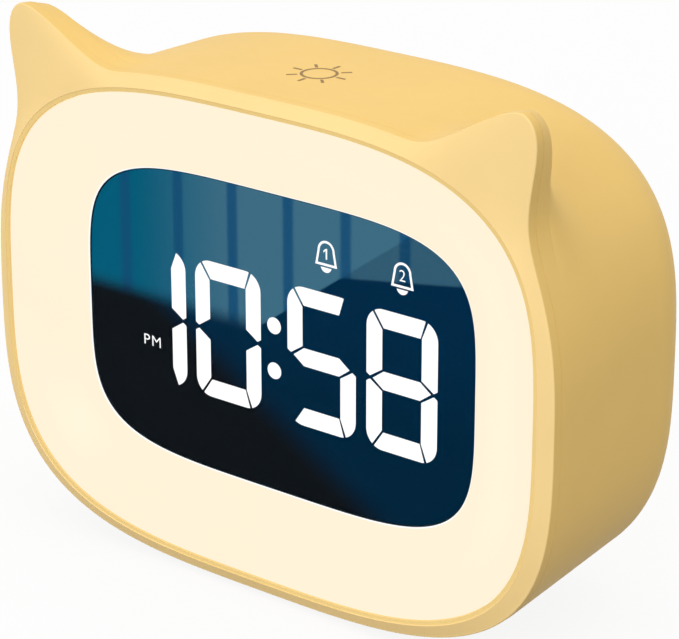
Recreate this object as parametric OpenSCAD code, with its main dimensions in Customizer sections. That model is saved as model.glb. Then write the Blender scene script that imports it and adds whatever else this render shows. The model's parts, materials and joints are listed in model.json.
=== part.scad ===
// Children's alarm clock with a night light, in millimetres.
// The front faces -Y, +X is to the right of someone who looks at the front, and +Z is up.
// The origin is on the table, under the middle of the overall box.
// Depths (names ending in _at or _d) run backwards from the plane of the bezel's outer edge.

/* [Body] */
// Width of the body
body_w = 129.5; // [122:0.5:160]
// Height of the body without the ears and the feet
body_h = 96; // [92:0.2:120]
// Depth from the bezel's outer edge to the rear wall's outer face
body_d = 47.5; // [45:0.5:60]
// Squareness of the body's outline at the front, where 2 gives an ellipse
body_square = 3.34; // [3:0.02:3.6]
// Squareness of the body's outline at the rear
rear_square = 3.2; // [3:0.02:3.6]
// Thickness of the housing's wall
wall = 2.2; // [2:0.1:2.8]
// Length of the rounding between the sides and the rear wall
rear_round_d = 12.5; // [9:0.5:13]
// Distance from the body's outline to the flat part of the rear wall
rear_inset = 10; // [7:0.5:12]
// Narrowing of each side towards the rear
side_draft = 1; // [0:0.1:1.4]
// Rise of the underside towards the rear
under_draft = 1.75; // [0:0.05:2]

/* [Ears] */
// How far an ear stands out from the body, measured from the body's middle
ear_rise = 17.4; // [10:0.2:24]
// Direction of an ear's tip, in degrees above the horizontal
ear_angle = 44.1; // [40:0.1:48]
// Spread of an ear's outer flank, in degrees
ear_outer_spread = 6.25; // [5:0.05:7]
// Spread of an ear's inner flank, in degrees
ear_inner_spread = 3.35; // [3:0.05:5]
// Thickness of an ear, shared by the bezel and the housing
ear_t = 6; // [5:0.1:8]
// Share of its rise that an ear loses towards its back
ear_taper = 0.1; // [0:0.01:0.2]
// Length of the fillet that runs from an ear's back into the housing
ear_fillet = 9.5; // [6:0.5:12]
// How much the flanks spread while the fillet runs out, as a share of their spread
ear_foot = 1.4; // [0:0.1:2]
// How far each side is drawn in below its ear
waist = 1; // [0:0.1:1]

/* [Bezel] */
// Width of the bezel's band at each side of the glowing panel
band_side = 3.75; // [3.6:0.05:8]
// Width of the bezel's band above and below the glowing panel
band_top = 3.3; // [3.2:0.05:6]
// Thickness of the bezel at its outer edge
bezel_t = 2.3; // [2:0.1:3]
// How far the bezel's inner rim stands in front of its outer edge
rim_rise = 1.2; // [0.6:0.1:2]
// Width of the small chamfer at the bezel's inner rim
rim_chamfer = 0.7; // [0.4:0.1:1]
// Length of the tongue that goes into the housing
tongue_l = 3; // [2.5:0.1:4]
// Thickness of the housing's lip outside the tongue
lip_t = 1.2; // [1:0.1:1.4]
// Height of the snap bead on the tongue
bead = 0.3; // [0.2:0.05:0.4]

/* [Night light] */
// Squareness of the panel's outline
panel_square = 3.33; // [3:0.01:3.6]
// Thickness of the diffuser
diffuser_t = 1.7; // [1.4:0.1:2.2]
// Thickness of the diffuser's flange
flange_t = 1.2; // [1:0.1:1.6]
// How far the panel's outer edge stands in front of the bezel's outer edge
panel_rise = 0.9; // [0.4:0.1:1.1]
// Number of lamps round the display
night_lamps = 16; // [8:2:24]

/* [Display] */
// Width of a digit
digit_w = 15.7; // [12:0.1:16.4]
// Height of a digit
digit_h = 26.9; // [21:0.1:28]
// Gap between the digits of a pair
digit_gap = 2.4; // [1.6:0.1:3]
// Distance from the middle to the nearest digit
colon_side = 3.15; // [2.6:0.05:4]
// Width of a segment
stroke = 3.5; // [2.5:0.1:4]
// Gap between neighbouring segments
segment_gap = 0.5; // [0.3:0.05:0.8]
// Radius of a digit's outer corners
digit_corner = 3.6; // [2:0.1:5]
// Height of the digits' middle above the window's middle
digit_z = -0.8; // [-3:0.1:1]
// Diameter of a colon dot
colon_dot = 3.2; // [2.4:0.1:4]
// Distance between the colon dots
colon_pitch = 8.8; // [6:0.1:12]
// Border of the black reflector block round the digits and the signs
reflector_border = 3; // [2:0.1:3.2]
// Depth of the reflector block
reflector_d = 6.2; // [5:0.1:7]
// Distance from the reflector block to the window's left and right edges
window_side = 5.25; // [4:0.05:7]
// Distance from the digits to the window's upper and lower edges, halfway between the two
window_above = 15.45; // [14:0.05:17]
// Squareness of the window's outline
window_square = 4.25; // [3.8:0.05:5]
// How far the window's edge lies behind the bezel's outer edge
window_at = 4.4; // [3.5:0.1:6]
// How far the lens lies behind the window's edge
lens_set_back = 0.2; // [0:0.05:0.4]
// Thickness of the lens's flange
lens_flange_t = 1.5; // [1.2:0.1:2]
// How far the lens's flange reaches behind the diffuser
lens_flange_w = 2; // [1.5:0.1:2.2]

/* [Rear controls] */
// Diameter of a button
button_d = 7; // [5:0.1:8]
// How far a button stands proud of the rear wall
button_proud = 0.9; // [0.6:0.1:1.5]
// How far a button can be pressed
button_travel = 0.8; // [0.4:0.1:1]
// Sideways distance between the buttons
button_pitch_x = 15; // [12:0.5:15.5]
// Upright distance between the buttons
button_pitch_z = 13; // [10:0.5:13]
// How far the power switch slides
slide_travel = 3; // [2:0.5:3.5]

/* [Speaker] */
// Diameter of the speaker's flange
speaker_d = 36; // [30:0.5:43]
// Diameter of a grille hole
grille_hole_d = 1.7; // [1.2:0.1:2.4]
// Distance between the rings of grille holes
grille_pitch = 3.6; // [3:0.1:4.2]
// Number of rings round the middle hole
grille_rings = 3; // [2:1:3]

/* [Feet] */
// Diameter of a foot
foot_d = 9; // [7:0.5:10]
// How far a foot stands proud of the lowest part of the body
foot_proud = 0.8; // [0.5:0.1:1.5]
// Distance between the left and the right feet
foot_pitch = 52; // [40:1:56]

/* [Fit] */
// Gap between pieces that are put together and then stay
fit = 0.1; // [0.05:0.05:0.15]
// Radial gap round a piece that slides in a round hole
running = 0.08; // [0.05:0.01:0.1]

/* [Hidden] */

$fn = 48;
shell_yellow = [0.98, 0.86, 0.59];
panel_cream = [1, 0.95, 0.84];
lens_navy = [0.02, 0.12, 0.2];
board_green = [0.1, 0.4, 0.25];
part_black = [0.1, 0.1, 0.11];
part_steel = [0.75, 0.76, 0.78];
lamp_white = [1, 1, 1];

// Places that follow from the sizes above
overall_d = rim_rise + body_d + button_proud;
front_y = rim_rise - overall_d / 2;
mid_z = foot_proud + body_h / 2;
round_at = body_d - rear_round_d;
inner_wall_at = body_d - wall;
tongue_end_at = bezel_t + tongue_l;
panel_w = body_w - 2 * band_side;
panel_h = body_h - 2 * band_top;
flange_back_at = bezel_t + flange_t;
lens_at = window_at + lens_set_back;
lens_flange_at = window_at + diffuser_t;
reflector_at = lens_flange_at + lens_flange_t;
display_board_at = reflector_at + reflector_d;
standoff_l = 1.6;
frame_t = 1.8;
frame_back_at = display_board_at - standoff_l;
frame_at = frame_back_at - frame_t;
night_board_t = 1.2;
night_board_at = frame_at - night_board_t;
board_t = 1.6;
board_corner = 1.5;
bezel_edge = 0.5;
bead_half = 0.2;
lip_gap = 0.1;
frame_gap = 0.15;
rim_wall = 1.5;
rim_overlap = 0.5;
board_gap = 0.5;

// Diffuser
skirt_t = 1.8;
dish_steps = 7;
dish_back_from = 0.12;
dish_back_to = 0.82;
lens_seat = lens_flange_w + 0.3;

// Signs beside and above the digits
pm_side = 1.6;
pm_size = [digit_w - 2 * stroke - 2 * pm_side, 3.4];
pm_low = 0.4;
bell_size = [5.6, 6.8];
bell_gap = 3.45;
bell_corner = 2;

// Places on the display, seen from the front
inner_digit_x = colon_side + digit_w / 2;
digit_pitch = digit_w + digit_gap;
digit_x = [-inner_digit_x - digit_pitch, -inner_digit_x, inner_digit_x, inner_digit_x + digit_pitch];
bell_x = [digit_x[2] + 1.4, digit_x[3] + 0.3];
bell_z = digit_z + digit_h / 2 + bell_gap + bell_size[1] / 2;
pm_at = [digit_x[0], digit_z - (digit_h - stroke) / 4 - pm_low];
reflector_w = 2 * (digit_x[3] + digit_w / 2 + reflector_border);
reflector_low = digit_z - digit_h / 2 - reflector_border;
reflector_high = bell_z + bell_size[1] / 2 + reflector_border;
reflector_h = reflector_high - reflector_low;
reflector_z = (reflector_high + reflector_low) / 2;
reflector_corner = 3;
window_w = reflector_w + 2 * window_side;
window_h = digit_h + 2 * window_above;
fill_d = 3;

// Small screws of the boards and of the speaker
small_screw_r = 0.85;
small_screw_hole_r = small_screw_r + 0.2;
small_head_r = 1.7;
small_head_h = 1.1;
small_screw_l = 3.2;
display_board_w = reflector_w + 2;
display_screw_x = reflector_w / 2 - 6;
display_screw_z = reflector_h / 2 + 2.2;
display_board_h = 2 * display_screw_z + 4;
standoff_r = 1.8;

// Screw posts that hold the frame to the housing
frame_post_r = 3.2;
post_gap = 0.8;
post_in_z = 21.2;
post_x = display_board_w / 2 + post_gap + frame_post_r;
post_z = body_h / 2 - post_in_z;
post_joint_at = body_d - 22;
post_r = 4.3;
screw_head_r = 2.6;
screw_head_h = 2;
screw_r = 1.25;
screw_grip = 10;
head_floor = 2;
counterbore_r = screw_head_r + 0.4;
screw_hole_r = screw_r + 0.3;
screw_pilot_r = screw_r + 0.05;

// Main board behind the rear wall
rear_gap = 6;
main_board_back_at = inner_wall_at - rear_gap;
main_board_at = main_board_back_at - board_t;
main_board_w = 30;
main_board_h = 52;
main_board_gap = 2.2;
main_board_x = main_board_w / 2 + main_board_gap + post_r - post_x;
main_board_z = -2;
main_screw_in = 3;
main_screw_x = main_board_w / 2 - main_screw_in;
main_screw_z = main_board_h / 2 - main_screw_in;
board_post_r = 2.5;
controls_x = main_board_x;
button_row_z = -1;
switch_z = 18;
usb_z = -22;

// Buttons and the switches under them
button_flange_w = 0.9;
button_flange_t = 0.8;
flange_gap = 0.1;
tact_w = 6;
tact_room = 2.5;
tact_h = rear_gap - tact_room;
tact_back_at = main_board_back_at + tact_h;
plunger_r = 1.7;
plunger_in = button_travel + 0.1;
plunger_room = 0.3;
button_under_at = inner_wall_at - flange_gap - button_flange_t;

// Power switch
switch_case_size = [9, 4];
switch_case_h = 3.6;
knob_size = [4, 3];
knob_proud = 0.6;
knob_gap = 0.2;
knob_under = 0.8;
knob_under_at = inner_wall_at - knob_under;
knob_post = 1.5;
knob_post_in = 1.4;
knob_post_room = 0.3;
knob_post_gap = 0.2;

// Charging inlet
usb_w = 8.94;
usb_h = 3.26;
usb_wall = 0.3;
usb_set_back = 0.4;
usb_tongue_size = [6.7, 0.7];
usb_base_t = 0.8;
usb_tongue_short = 0.8;

// Speaker
speaker_x = 24;
speaker_r = speaker_d / 2;
gasket_t = 1;
speaker_flange_t = 1.2;
speaker_flange_at = inner_wall_at - gasket_t - speaker_flange_t;
gasket_w = 3;
basket_l = 5;
basket_t = 1;
basket_land = 2.4;
basket_open = 3;
magnet_r = speaker_r / 2 - 0.5;
magnet_l = 5;
cone_t = 0.5;
cone_roll = 2;
cone_apex_r = 5;
cone_drop = 2.8;
dome_rise = 1.2;
speaker_ring_gap = 0.3;
speaker_ring_t = 1.5;
speaker_post_r = 2.2;
speaker_screw_head_r = 3.2;
speaker_screw_head_h = 1;
speaker_screw_l = 2.2;
speaker_screw_ring_r = speaker_r + speaker_ring_gap + speaker_ring_t + 0.8;
speaker_screw_angles = [90, 210, 330];

// Battery
cell_r = 9.2;
cell_l = 65;
cell_d = post_joint_at + 1;
pad_t = 0.5;
pad_gap = 0.05;
saddle_t = 2.4;
saddle_x = 20;
saddle_side = 0.8;
cell_cap_l = 0.6;
cell_cap_r = 0.6 * cell_r;
cell_clear = 0.2;
cell_z = cell_r + cell_clear
         + underside_z(cell_l / 2, inner_half_w(cell_d), inner_low(cell_d), square_at(cell_d));

// Touch sensor under the top
touch_at = 18.5;
sensor_r = 5.2;
sensor_t = 1;
sensor_seat_r = 5.6;
sensor_seat = 0.8;
into_wall = 0.6;

// Feet
foot_r = foot_d / 2;
foot_clear = 0.7;
foot_from_rear = 15;
foot_front_at = tongue_end_at + foot_r + foot_clear;
foot_rear_at = body_d - foot_from_rear;
foot_pocket_gap = 0.1;
foot_pocket_in = 0.15;

// Angles at which an outline is drawn: closer together round the ears
ear_reach = 15;
ear_step = 2;
plain_step = 6;
upper_right = concat(
  [for (t = [0:plain_step:ear_angle - ear_reach - ear_step]) t],
  [for (t = [ear_angle - ear_reach:ear_step:ear_angle + ear_reach]) t],
  [for (t = [ear_angle + ear_reach + plain_step:plain_step:90 - ear_step]) t]
);
lower_right = [for (t = [plain_step:plain_step:90 - plain_step]) t];
outline_angles = concat(
  upper_right,
  [90],
  [for (i = [len(upper_right) - 1:-1:0]) 180 - upper_right[i]],
  [for (t = lower_right) 180 + t],
  [270],
  [for (i = [len(lower_right) - 1:-1:0]) 360 - lower_right[i]]
);

// ---------- outlines ----------

// Distance from the middle to a rounded-square outline, in the direction t
function oval_r(t, hw, hh, square) =
  pow(pow(abs(cos(t)) / hw, square) + pow(abs(sin(t)) / hh, square), -1 / square);

// Share of the ears that is left at the depth d: a slight taper, and then a long fillet
fillet_power = 3.8;
function ear_share(d) =
  d <= ear_t ? 1 - ear_taper * pow(d / ear_t, 2)
             : (1 - ear_taper) * pow(max(0, 1 - (d - ear_t) / ear_fillet), fillet_power);

// Angle between the direction t and the horizontal, which is the same for both sides
function side_angle(t) = t > 90 ? 180 - t : t;

function bell_curve(off, spread) = exp(-pow(off / spread, 2) / 2);

// Rise of the ears above the outline, in the direction t, where this share of them is left
function ear_r(t, share) =
  let (off = side_angle(t) - ear_angle, wider = 1 + ear_foot * (1 - share))
  let (spread = wider * (off < 0 ? ear_outer_spread : ear_inner_spread))
  t > 180 ? 0 : share * ear_rise * bell_curve(off, spread);

// How far the outline is drawn in below the ears
waist_angle = 23;
waist_spread = 8;
function waist_r(t) = t > 180 ? 0 : waist * bell_curve(side_angle(t) - waist_angle, waist_spread);

function oval_points(hw, hh, square) =
  [for (t = outline_angles) oval_r(t, hw, hh, square) * [cos(t), sin(t)]];

// Half sizes and squareness of the housing's outside at the depth d, before the rear rounding
function draft_share(d) = max(0, min(1, (d - bezel_t) / (round_at - bezel_t)));
function half_w(d) = body_w / 2 - side_draft * draft_share(d);
function half_low(d) = body_h / 2 - under_draft * draft_share(d);
function square_at(d) = body_square + (rear_square - body_square) * draft_share(d);

// The same inside the wall
function inner_half_w(d) = half_w(d) - wall;
function inner_low(d) = half_low(d) - wall;
inner_top = body_h / 2 - wall;

// Distance from the middle to the housing's outline at the depth d, drawn in by inset
function drawn_in_r(t, d, inset) =
  oval_r(t, half_w(d) - inset, (t > 180 ? half_low(d) : body_h / 2) - inset, square_at(d));

// How far the rear rounding has drawn the outline in at the depth d
function rounding(d) =
  d <= round_at ? 0 : rear_inset * (1 - sqrt(max(0, 1 - pow((d - round_at) / rear_round_d, 2))));

// Height of an oval's underside at x
function underside_z(x, hw, hh, square) = -hh * pow(1 - pow(abs(x) / hw, square), 1 / square);

// A ring of points at the depth d from a radius for each angle
function ring(radii, angles, d) =
  [for (i = [0:len(angles) - 1])
    [radii[i] * cos(angles[i]), front_y + d, mid_z + radii[i] * sin(angles[i])]];

// A ring of the body's outline, drawn in by inset, with ears (1) or without them (0)
function body_ring(d, inset, ears) =
  let (share = ear_share(d))
  ring([for (t = outline_angles)
         drawn_in_r(t, d, inset) + ears * ear_r(t, share) - share * waist_r(t)],
       outline_angles, d);

// A ring between the outer edge of the panel (u = 0) and the window (u = 1)
function panel_ring(d, u, inset) =
  ring([for (t = outline_angles)
         (1 - u) * oval_r(t, panel_w / 2 - inset, panel_h / 2 - inset, panel_square)
         + u * oval_r(t, window_w / 2 - inset, window_h / 2 - inset, window_square)],
       outline_angles, d);

// Depth of the dished panel, level at both of its edges
function dish(u) = -panel_rise + (window_at + panel_rise) * (3 - 2 * u) * u * u;

// ---------- solids from rings ----------

function flat_list(lists) = [for (l = lists) for (item = l) item];

function band_faces(i, k, n) =
  [for (j = [0:n - 1]) let (m = (j + 1) % n)
    each [[i * n + j, i * n + m, k * n + m], [i * n + j, k * n + m, k * n + j]]];

// Closed band: the last ring joins the first
module band_loft(rings) {
  n = len(rings[0]);
  count = len(rings);
  polyhedron(flat_list(rings),
             flat_list([for (i = [0:count - 1]) band_faces(i, (i + 1) % count, n)]));
}

// Cup: the first and the last ring are closed by flat fans
module cup_loft(rings) {
  n = len(rings[0]);
  count = len(rings);
  first_hub = [0, rings[0][0][1], mid_z];
  last_hub = [0, rings[count - 1][0][1], mid_z];
  polyhedron(concat(flat_list(rings), [first_hub, last_hub]),
             concat(
               flat_list([for (i = [0:count - 2]) band_faces(i, i + 1, n)]),
               [for (j = [0:n - 1]) [(j + 1) % n, j, count * n]],
               [for (j = [0:n - 1])
                 [(count - 1) * n + j, (count - 1) * n + (j + 1) % n, count * n + 1]]));
}

// ---------- placing helpers ----------

// Extrudes a front-view outline from one depth to another
module slab(from, to) {
  translate([0, front_y + to, mid_z])
    rotate([90, 0, 0])
      linear_extrude(to - from) children();
}

// Round rod along the depth at a front-view place
module rod(at, r, from, to) {
  translate([at[0], front_y + to, mid_z + at[1]])
    rotate([90, 0, 0]) cylinder(r = r, h = to - from);
}

// Box with a front-view centre and size
module block(at, size, from, to) {
  translate([at[0] - size[0] / 2, front_y + from, mid_z + at[1] - size[1] / 2])
    cube([size[0], to - from, size[1]]);
}

module oval(hw, hh, square) {
  polygon(oval_points(hw, hh, square));
}

module rounded_rect(w, h, r) {
  square([w - 2 * r, h], center = true);
  square([w, h - 2 * r], center = true);
  for (x = [-1, 1], y = [-1, 1])
    translate([x * (w / 2 - r), y * (h / 2 - r)]) circle(r);
}

module stadium(w, h) {
  square([w - h, h], center = true);
  for (x = [-1, 1])
    translate([x * (w - h) / 2, 0]) circle(h / 2);
}

module screw(at, r, head_r, head_h, seat_at, tip_at) {
  rod(at, r, min(seat_at, tip_at), max(seat_at, tip_at));
  if (seat_at > tip_at) rod(at, head_r, seat_at, seat_at + head_h);
  else rod(at, head_r, seat_at - head_h, seat_at);
}

module at_corners(x, z) {
  for (sx = [-1, 1], sz = [-1, 1])
    translate([sx * x, 0, sz * z]) children();
}

// ---------- front ----------

module front_bezel() {
  tongue = lip_t + fit;
  bead_at = bezel_t + tongue_l / 2;
  // Ring of the opening for the panel, widened by grow
  function opening_ring(d, grow) =
    ring([for (t = outline_angles)
           oval_r(t, panel_w / 2 + fit + grow, panel_h / 2 + fit + grow, panel_square)],
         outline_angles, d);
  color(shell_yellow) band_loft([
    body_ring(0, bezel_edge, 1),
    body_ring(bezel_edge, 0, 1),
    body_ring(bezel_t, 0, 1),
    body_ring(bezel_t, tongue, 0),
    body_ring(bead_at - bead_half - bead, tongue, 0),
    body_ring(bead_at - bead_half, tongue - bead, 0),
    body_ring(bead_at + bead_half, tongue - bead, 0),
    body_ring(bead_at + bead_half + bead, tongue, 0),
    body_ring(tongue_end_at, tongue, 0),
    body_ring(tongue_end_at, wall, 0),
    body_ring(bezel_t, wall, 0),
    opening_ring(bezel_t, 0),
    opening_ring(rim_chamfer - rim_rise, 0),
    opening_ring(-rim_rise, rim_chamfer)
  ]);
}

module night_light_diffuser() {
  // The flange fills the housing's mouth and lies behind the bezel
  function flange_ring(d) = body_ring(d, wall + fit, 0);
  function back_share(i) = dish_back_from + (dish_back_to - dish_back_from) * i / dish_steps;
  color(panel_cream) band_loft(concat(
    [flange_ring(flange_back_at)],
    [panel_ring(flange_back_at, 0, skirt_t)],
    [for (i = [1:dish_steps])
      panel_ring(min(dish(back_share(i)) + diffuser_t, lens_flange_at), back_share(i), 0)],
    [panel_ring(lens_flange_at, 1, -lens_seat)],
    [panel_ring(lens_flange_at, 1, 0)],
    [for (i = [dish_steps:-1:0]) panel_ring(dish(i / dish_steps), i / dish_steps, 0)],
    [panel_ring(bezel_t + fit, 0, 0)],
    [flange_ring(bezel_t + fit)]
  ));
}

// Outline of the lens's flange
module flange_outline() {
  oval(window_w / 2 + lens_flange_w, window_h / 2 + lens_flange_w, window_square);
}

module display_lens() {
  color(lens_navy) {
    slab(lens_at, lens_flange_at + rim_overlap)
      oval(window_w / 2 - fit, window_h / 2 - fit, window_square);
    slab(lens_flange_at, reflector_at) flange_outline();
  }
}

module display_gasket() {
  color(part_black) slab(reflector_at, night_board_at) difference() {
    flange_outline();
    reflector_outline(fit);
  }
}

// ---------- seven-segment display ----------

module reflector_outline(grow) {
  translate([0, reflector_z])
    rounded_rect(reflector_w + 2 * grow, reflector_h + 2 * grow, reflector_corner);
}

// Corner points of one segment; the digit's lower left corner is at the origin
function segment_points(name) =
  let (w = digit_w, h = digit_h, s = stroke, m = digit_h / 2, e = segment_gap / 2)
  let (left_cut = 1.9, right_cut = 2.8, tip = 0.8)
  name == "top" ? [[left_cut + e, h], [w - right_cut - e, h], [w - s - e, h - s], [s + e, h - s]] :
  name == "upper_right" ? [[w - right_cut + e, h], [w, h], [w, m + tip], [w - tip, m + e],
                           [w - s, m + s / 2 + e], [w - s, h - s]] :
  name == "upper_left" ? [[left_cut - e, h], [0, h], [0, m + tip], [tip, m + e],
                          [s, m + s / 2 + e], [s, h - s - e]] :
  name == "middle" ? [[tip + 2 * e, m], [s + e, m + s / 2], [w - s - e, m + s / 2],
                      [w - tip - 2 * e, m], [w - s - e, m - s / 2], [s + e, m - s / 2]] :
  [for (p = segment_points(upper_twin(name))) [p[0], h - p[1]]];

function upper_twin(name) =
  name == "bottom" ? "top" : name == "lower_right" ? "upper_right" : "upper_left";

SEGMENTS = ["top", "upper_right", "upper_left", "middle", "lower_left", "lower_right", "bottom"];
LIT = [
  ["upper_right", "lower_right"],
  ["top", "upper_right", "upper_left", "lower_left", "lower_right", "bottom"],
  ["top", "upper_left", "middle", "lower_right", "bottom"],
  SEGMENTS
];

function is_lit(digit, name) = len([for (n = LIT[digit]) if (n == name) 1]) > 0;

module segment(digit, name) {
  translate([digit_x[digit] - digit_w / 2, digit_z - digit_h / 2])
    intersection() {
      polygon(segment_points(name));
      translate([digit_w / 2, digit_h / 2]) rounded_rect(digit_w, digit_h, digit_corner);
    }
}

module segments(lit) {
  for (digit = [0:3], name = SEGMENTS)
    if (is_lit(digit, name) == lit) segment(digit, name);
}

module colon_outline() {
  for (side = [-1, 1])
    translate([0, digit_z + side * colon_pitch / 2]) circle(colon_dot / 2);
}

module indicator_outline() {
  translate(pm_at) square(pm_size, center = true);
  for (x = bell_x)
    translate([x, bell_z]) rounded_rect(bell_size[0], bell_size[1], bell_corner);
}

module display_reflector() {
  color(part_black) difference() {
    slab(reflector_at, display_board_at) reflector_outline(0);
    slab(0, body_d) {
      segments(true);
      segments(false);
      colon_outline();
      indicator_outline();
    }
  }
}

// Clear filling at the front of an opening in the reflector
module filling() {
  slab(reflector_at, reflector_at + fill_d) children();
}

module lit_segments() {
  color(lamp_white) filling() segments(true);
}

module unlit_segments() {
  color([0.35, 0.36, 0.38]) filling() segments(false);
}

module colon_dots() {
  color(lamp_white) filling() colon_outline();
}

module indicator_windows() {
  color(lamp_white) filling() indicator_outline();
}

module display_board() {
  color(board_green) difference() {
    slab(display_board_at, display_board_at + board_t)
      translate([0, reflector_z]) rounded_rect(display_board_w, display_board_h, board_corner);
    display_screws_at() rod([0, 0], small_screw_hole_r, 0, body_d);
  }
}

module display_screws_at() {
  translate([0, 0, reflector_z]) at_corners(display_screw_x, display_screw_z) children();
}

module display_board_screws() {
  seat = display_board_at + board_t;
  color(part_steel) display_screws_at()
    screw([0, 0], small_screw_r, small_head_r, small_head_h, seat, seat - small_screw_l);
}

module display_leds() {
  chip = [1.8, 1.1];
  chip_t = 0.6;
  from = display_board_at - chip_t;
  color(lamp_white) {
    for (x = digit_x, dz = [-1, 0, 1])
      block([x, digit_z + dz * (digit_h - stroke) / 2], chip, from, display_board_at);
    for (x = digit_x, side = [-1, 1], dz = [-1, 1])
      block([x + side * (digit_w - stroke) / 2, digit_z + dz * digit_h / 4],
            [chip[1], chip[0]], from, display_board_at);
    for (side = [-1, 1])
      block([0, digit_z + side * colon_pitch / 2], chip, from, display_board_at);
    for (at = concat([pm_at], [for (x = bell_x) [x, bell_z]]))
      block(at, chip, from, display_board_at);
  }
}

// ---------- night light ----------

module night_light_board() {
  color([0.92, 0.93, 0.9]) slab(night_board_at, frame_at) difference() {
    frame_oval(rim_wall + board_gap);
    reflector_outline(fit);
  }
}

module night_light_leds() {
  lamp = [3, 2.8];
  lamp_t = 0.9;
  // Halfway between the lens's flange and the board's edge
  function lamp_r(t) =
    (oval_r(t, window_w / 2 + lens_flange_w, window_h / 2 + lens_flange_w, window_square)
     + frame_r(t, rim_wall + board_gap)) / 2;
  color([1, 0.9, 0.6])
    for (i = [0:night_lamps - 1])
      let (t = (i + 0.5) * 360 / night_lamps)
        block(lamp_r(t) * [cos(t), sin(t)], lamp, night_board_at - lamp_t, night_board_at);
}

// ---------- frame behind the panel ----------

// The frame fits the housing's inside at the frame's back, with the whole waist
function frame_r(t, inset) = drawn_in_r(t, frame_back_at, wall + frame_gap + inset) - waist_r(t);

module frame_oval(inset) {
  polygon([for (t = outline_angles) frame_r(t, inset) * [cos(t), sin(t)]]);
}

module inner_frame() {
  plate_in = frame_at + rim_overlap;
  color([0.93, 0.93, 0.91]) difference() {
    union() {
      slab(frame_at, frame_back_at) difference() {
        frame_oval(0);
        reflector_outline(fit);
      }
      slab(flange_back_at, plate_in) difference() {
        frame_oval(0);
        frame_oval(rim_wall);
      }
      at_corners(post_x, post_z) rod([0, 0], frame_post_r, plate_in, post_joint_at);
      display_screws_at() rod([0, 0], standoff_r, plate_in, display_board_at);
    }
    at_corners(post_x, post_z) rod([0, 0], screw_pilot_r, frame_back_at, post_joint_at + 1);
    display_screws_at()
      rod([0, 0], small_screw_r, display_board_at + board_t - small_screw_l, display_board_at + 1);
  }
}

// ---------- rear housing ----------

// Places of the rings along the housing's share of an ear, and along its fillet (0 to 1)
ear_rings = [0, 0.45, 0.85, 1];
fillet_rings = [0.06, 0.14, 0.25, 0.4, 0.6, 1];

module housing_shell() {
  lip_end_at = tongue_end_at + lip_gap;
  bead_at = bezel_t + tongue_l / 2;
  groove = bead;
  groove_half = bead_half + fit;
  arc = [for (i = [1:5]) i * 18];
  cup_loft(concat(
    [for (i = [4:-1:0]) let (a = arc[i])
      body_ring(round_at + (rear_round_d - wall) * sin(a),
                wall + (rear_inset - wall) * (1 - cos(a)), 0)],
    [body_ring(round_at, wall, 0)],
    [body_ring(lip_end_at, wall, 0)],
    [body_ring(lip_end_at, lip_t, 0)],
    [body_ring(bead_at + groove_half + groove, lip_t, 0)],
    [body_ring(bead_at + groove_half, lip_t - groove, 0)],
    [body_ring(bead_at - groove_half, lip_t - groove, 0)],
    [body_ring(bead_at - groove_half - groove, lip_t, 0)],
    [body_ring(bezel_t, lip_t, 0)],
    [for (s = ear_rings) body_ring(bezel_t + (ear_t - bezel_t) * s, 0, 1)],
    [for (s = fillet_rings) body_ring(ear_t + ear_fillet * s, 0, 1)],
    [body_ring(round_at, 0, 0)],
    [for (a = arc)
      body_ring(round_at + rear_round_d * sin(a), rear_inset * (1 - cos(a)), 0)]
  ));
}

module feet_at(front) {
  for (side = [-1, 1])
    translate([side * foot_pitch / 2, front_y + (front ? foot_front_at : foot_rear_at), 0])
      children();
}

// Top of a foot's pocket, just inside the wall at the pocket's highest edge
function foot_top(front) =
  let (d = (front ? foot_front_at : foot_rear_at) + foot_r, x = foot_pitch / 2 + foot_r)
  mid_z + foot_pocket_in
  + underside_z(x, half_w(d) - rounding(d), half_low(d) - rounding(d), square_at(d));

module foot_pockets() {
  for (front = [true, false])
    feet_at(front)
      translate([0, 0, -1]) cylinder(r = foot_r + foot_pocket_gap, h = foot_top(front) + 1);
}

module cell_rod(r, l) {
  translate([-l / 2, front_y + cell_d, mid_z + cell_z])
    rotate([0, 90, 0]) cylinder(r = r, h = l);
}

module battery_saddles() {
  low = -inner_low(cell_d) - into_wall;
  high = cell_z - cell_r / 3;
  reach = cell_r + saddle_side;
  for (side = [-1, 1])
    difference() {
      block([side * saddle_x, (low + high) / 2], [saddle_t, high - low], cell_d - reach, cell_d + reach);
      cell_rod(cell_r + pad_t, body_w);
    }
}

function button_at(i) =
  [controls_x + (i % 2 == 0 ? -1 : 1) * button_pitch_x / 2,
   button_row_z + (i < 2 ? 1 : -1) * button_pitch_z / 2];

module main_screws_at() {
  translate([main_board_x, 0, main_board_z]) at_corners(main_screw_x, main_screw_z) children();
}

module speaker_screws_at() {
  for (a = speaker_screw_angles)
    translate([speaker_x + speaker_screw_ring_r * cos(a), 0, speaker_screw_ring_r * sin(a)])
      children();
}

module grille_holes() {
  rod([speaker_x, 0], grille_hole_d / 2, inner_wall_at - 1, body_d + 1);
  for (k = [1:grille_rings], i = [0:6 * k - 1]) let (a = i * 60 / k)
    rod([speaker_x, 0] + k * grille_pitch * [cos(a), sin(a)], grille_hole_d / 2,
        inner_wall_at - 1, body_d + 1);
}

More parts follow.
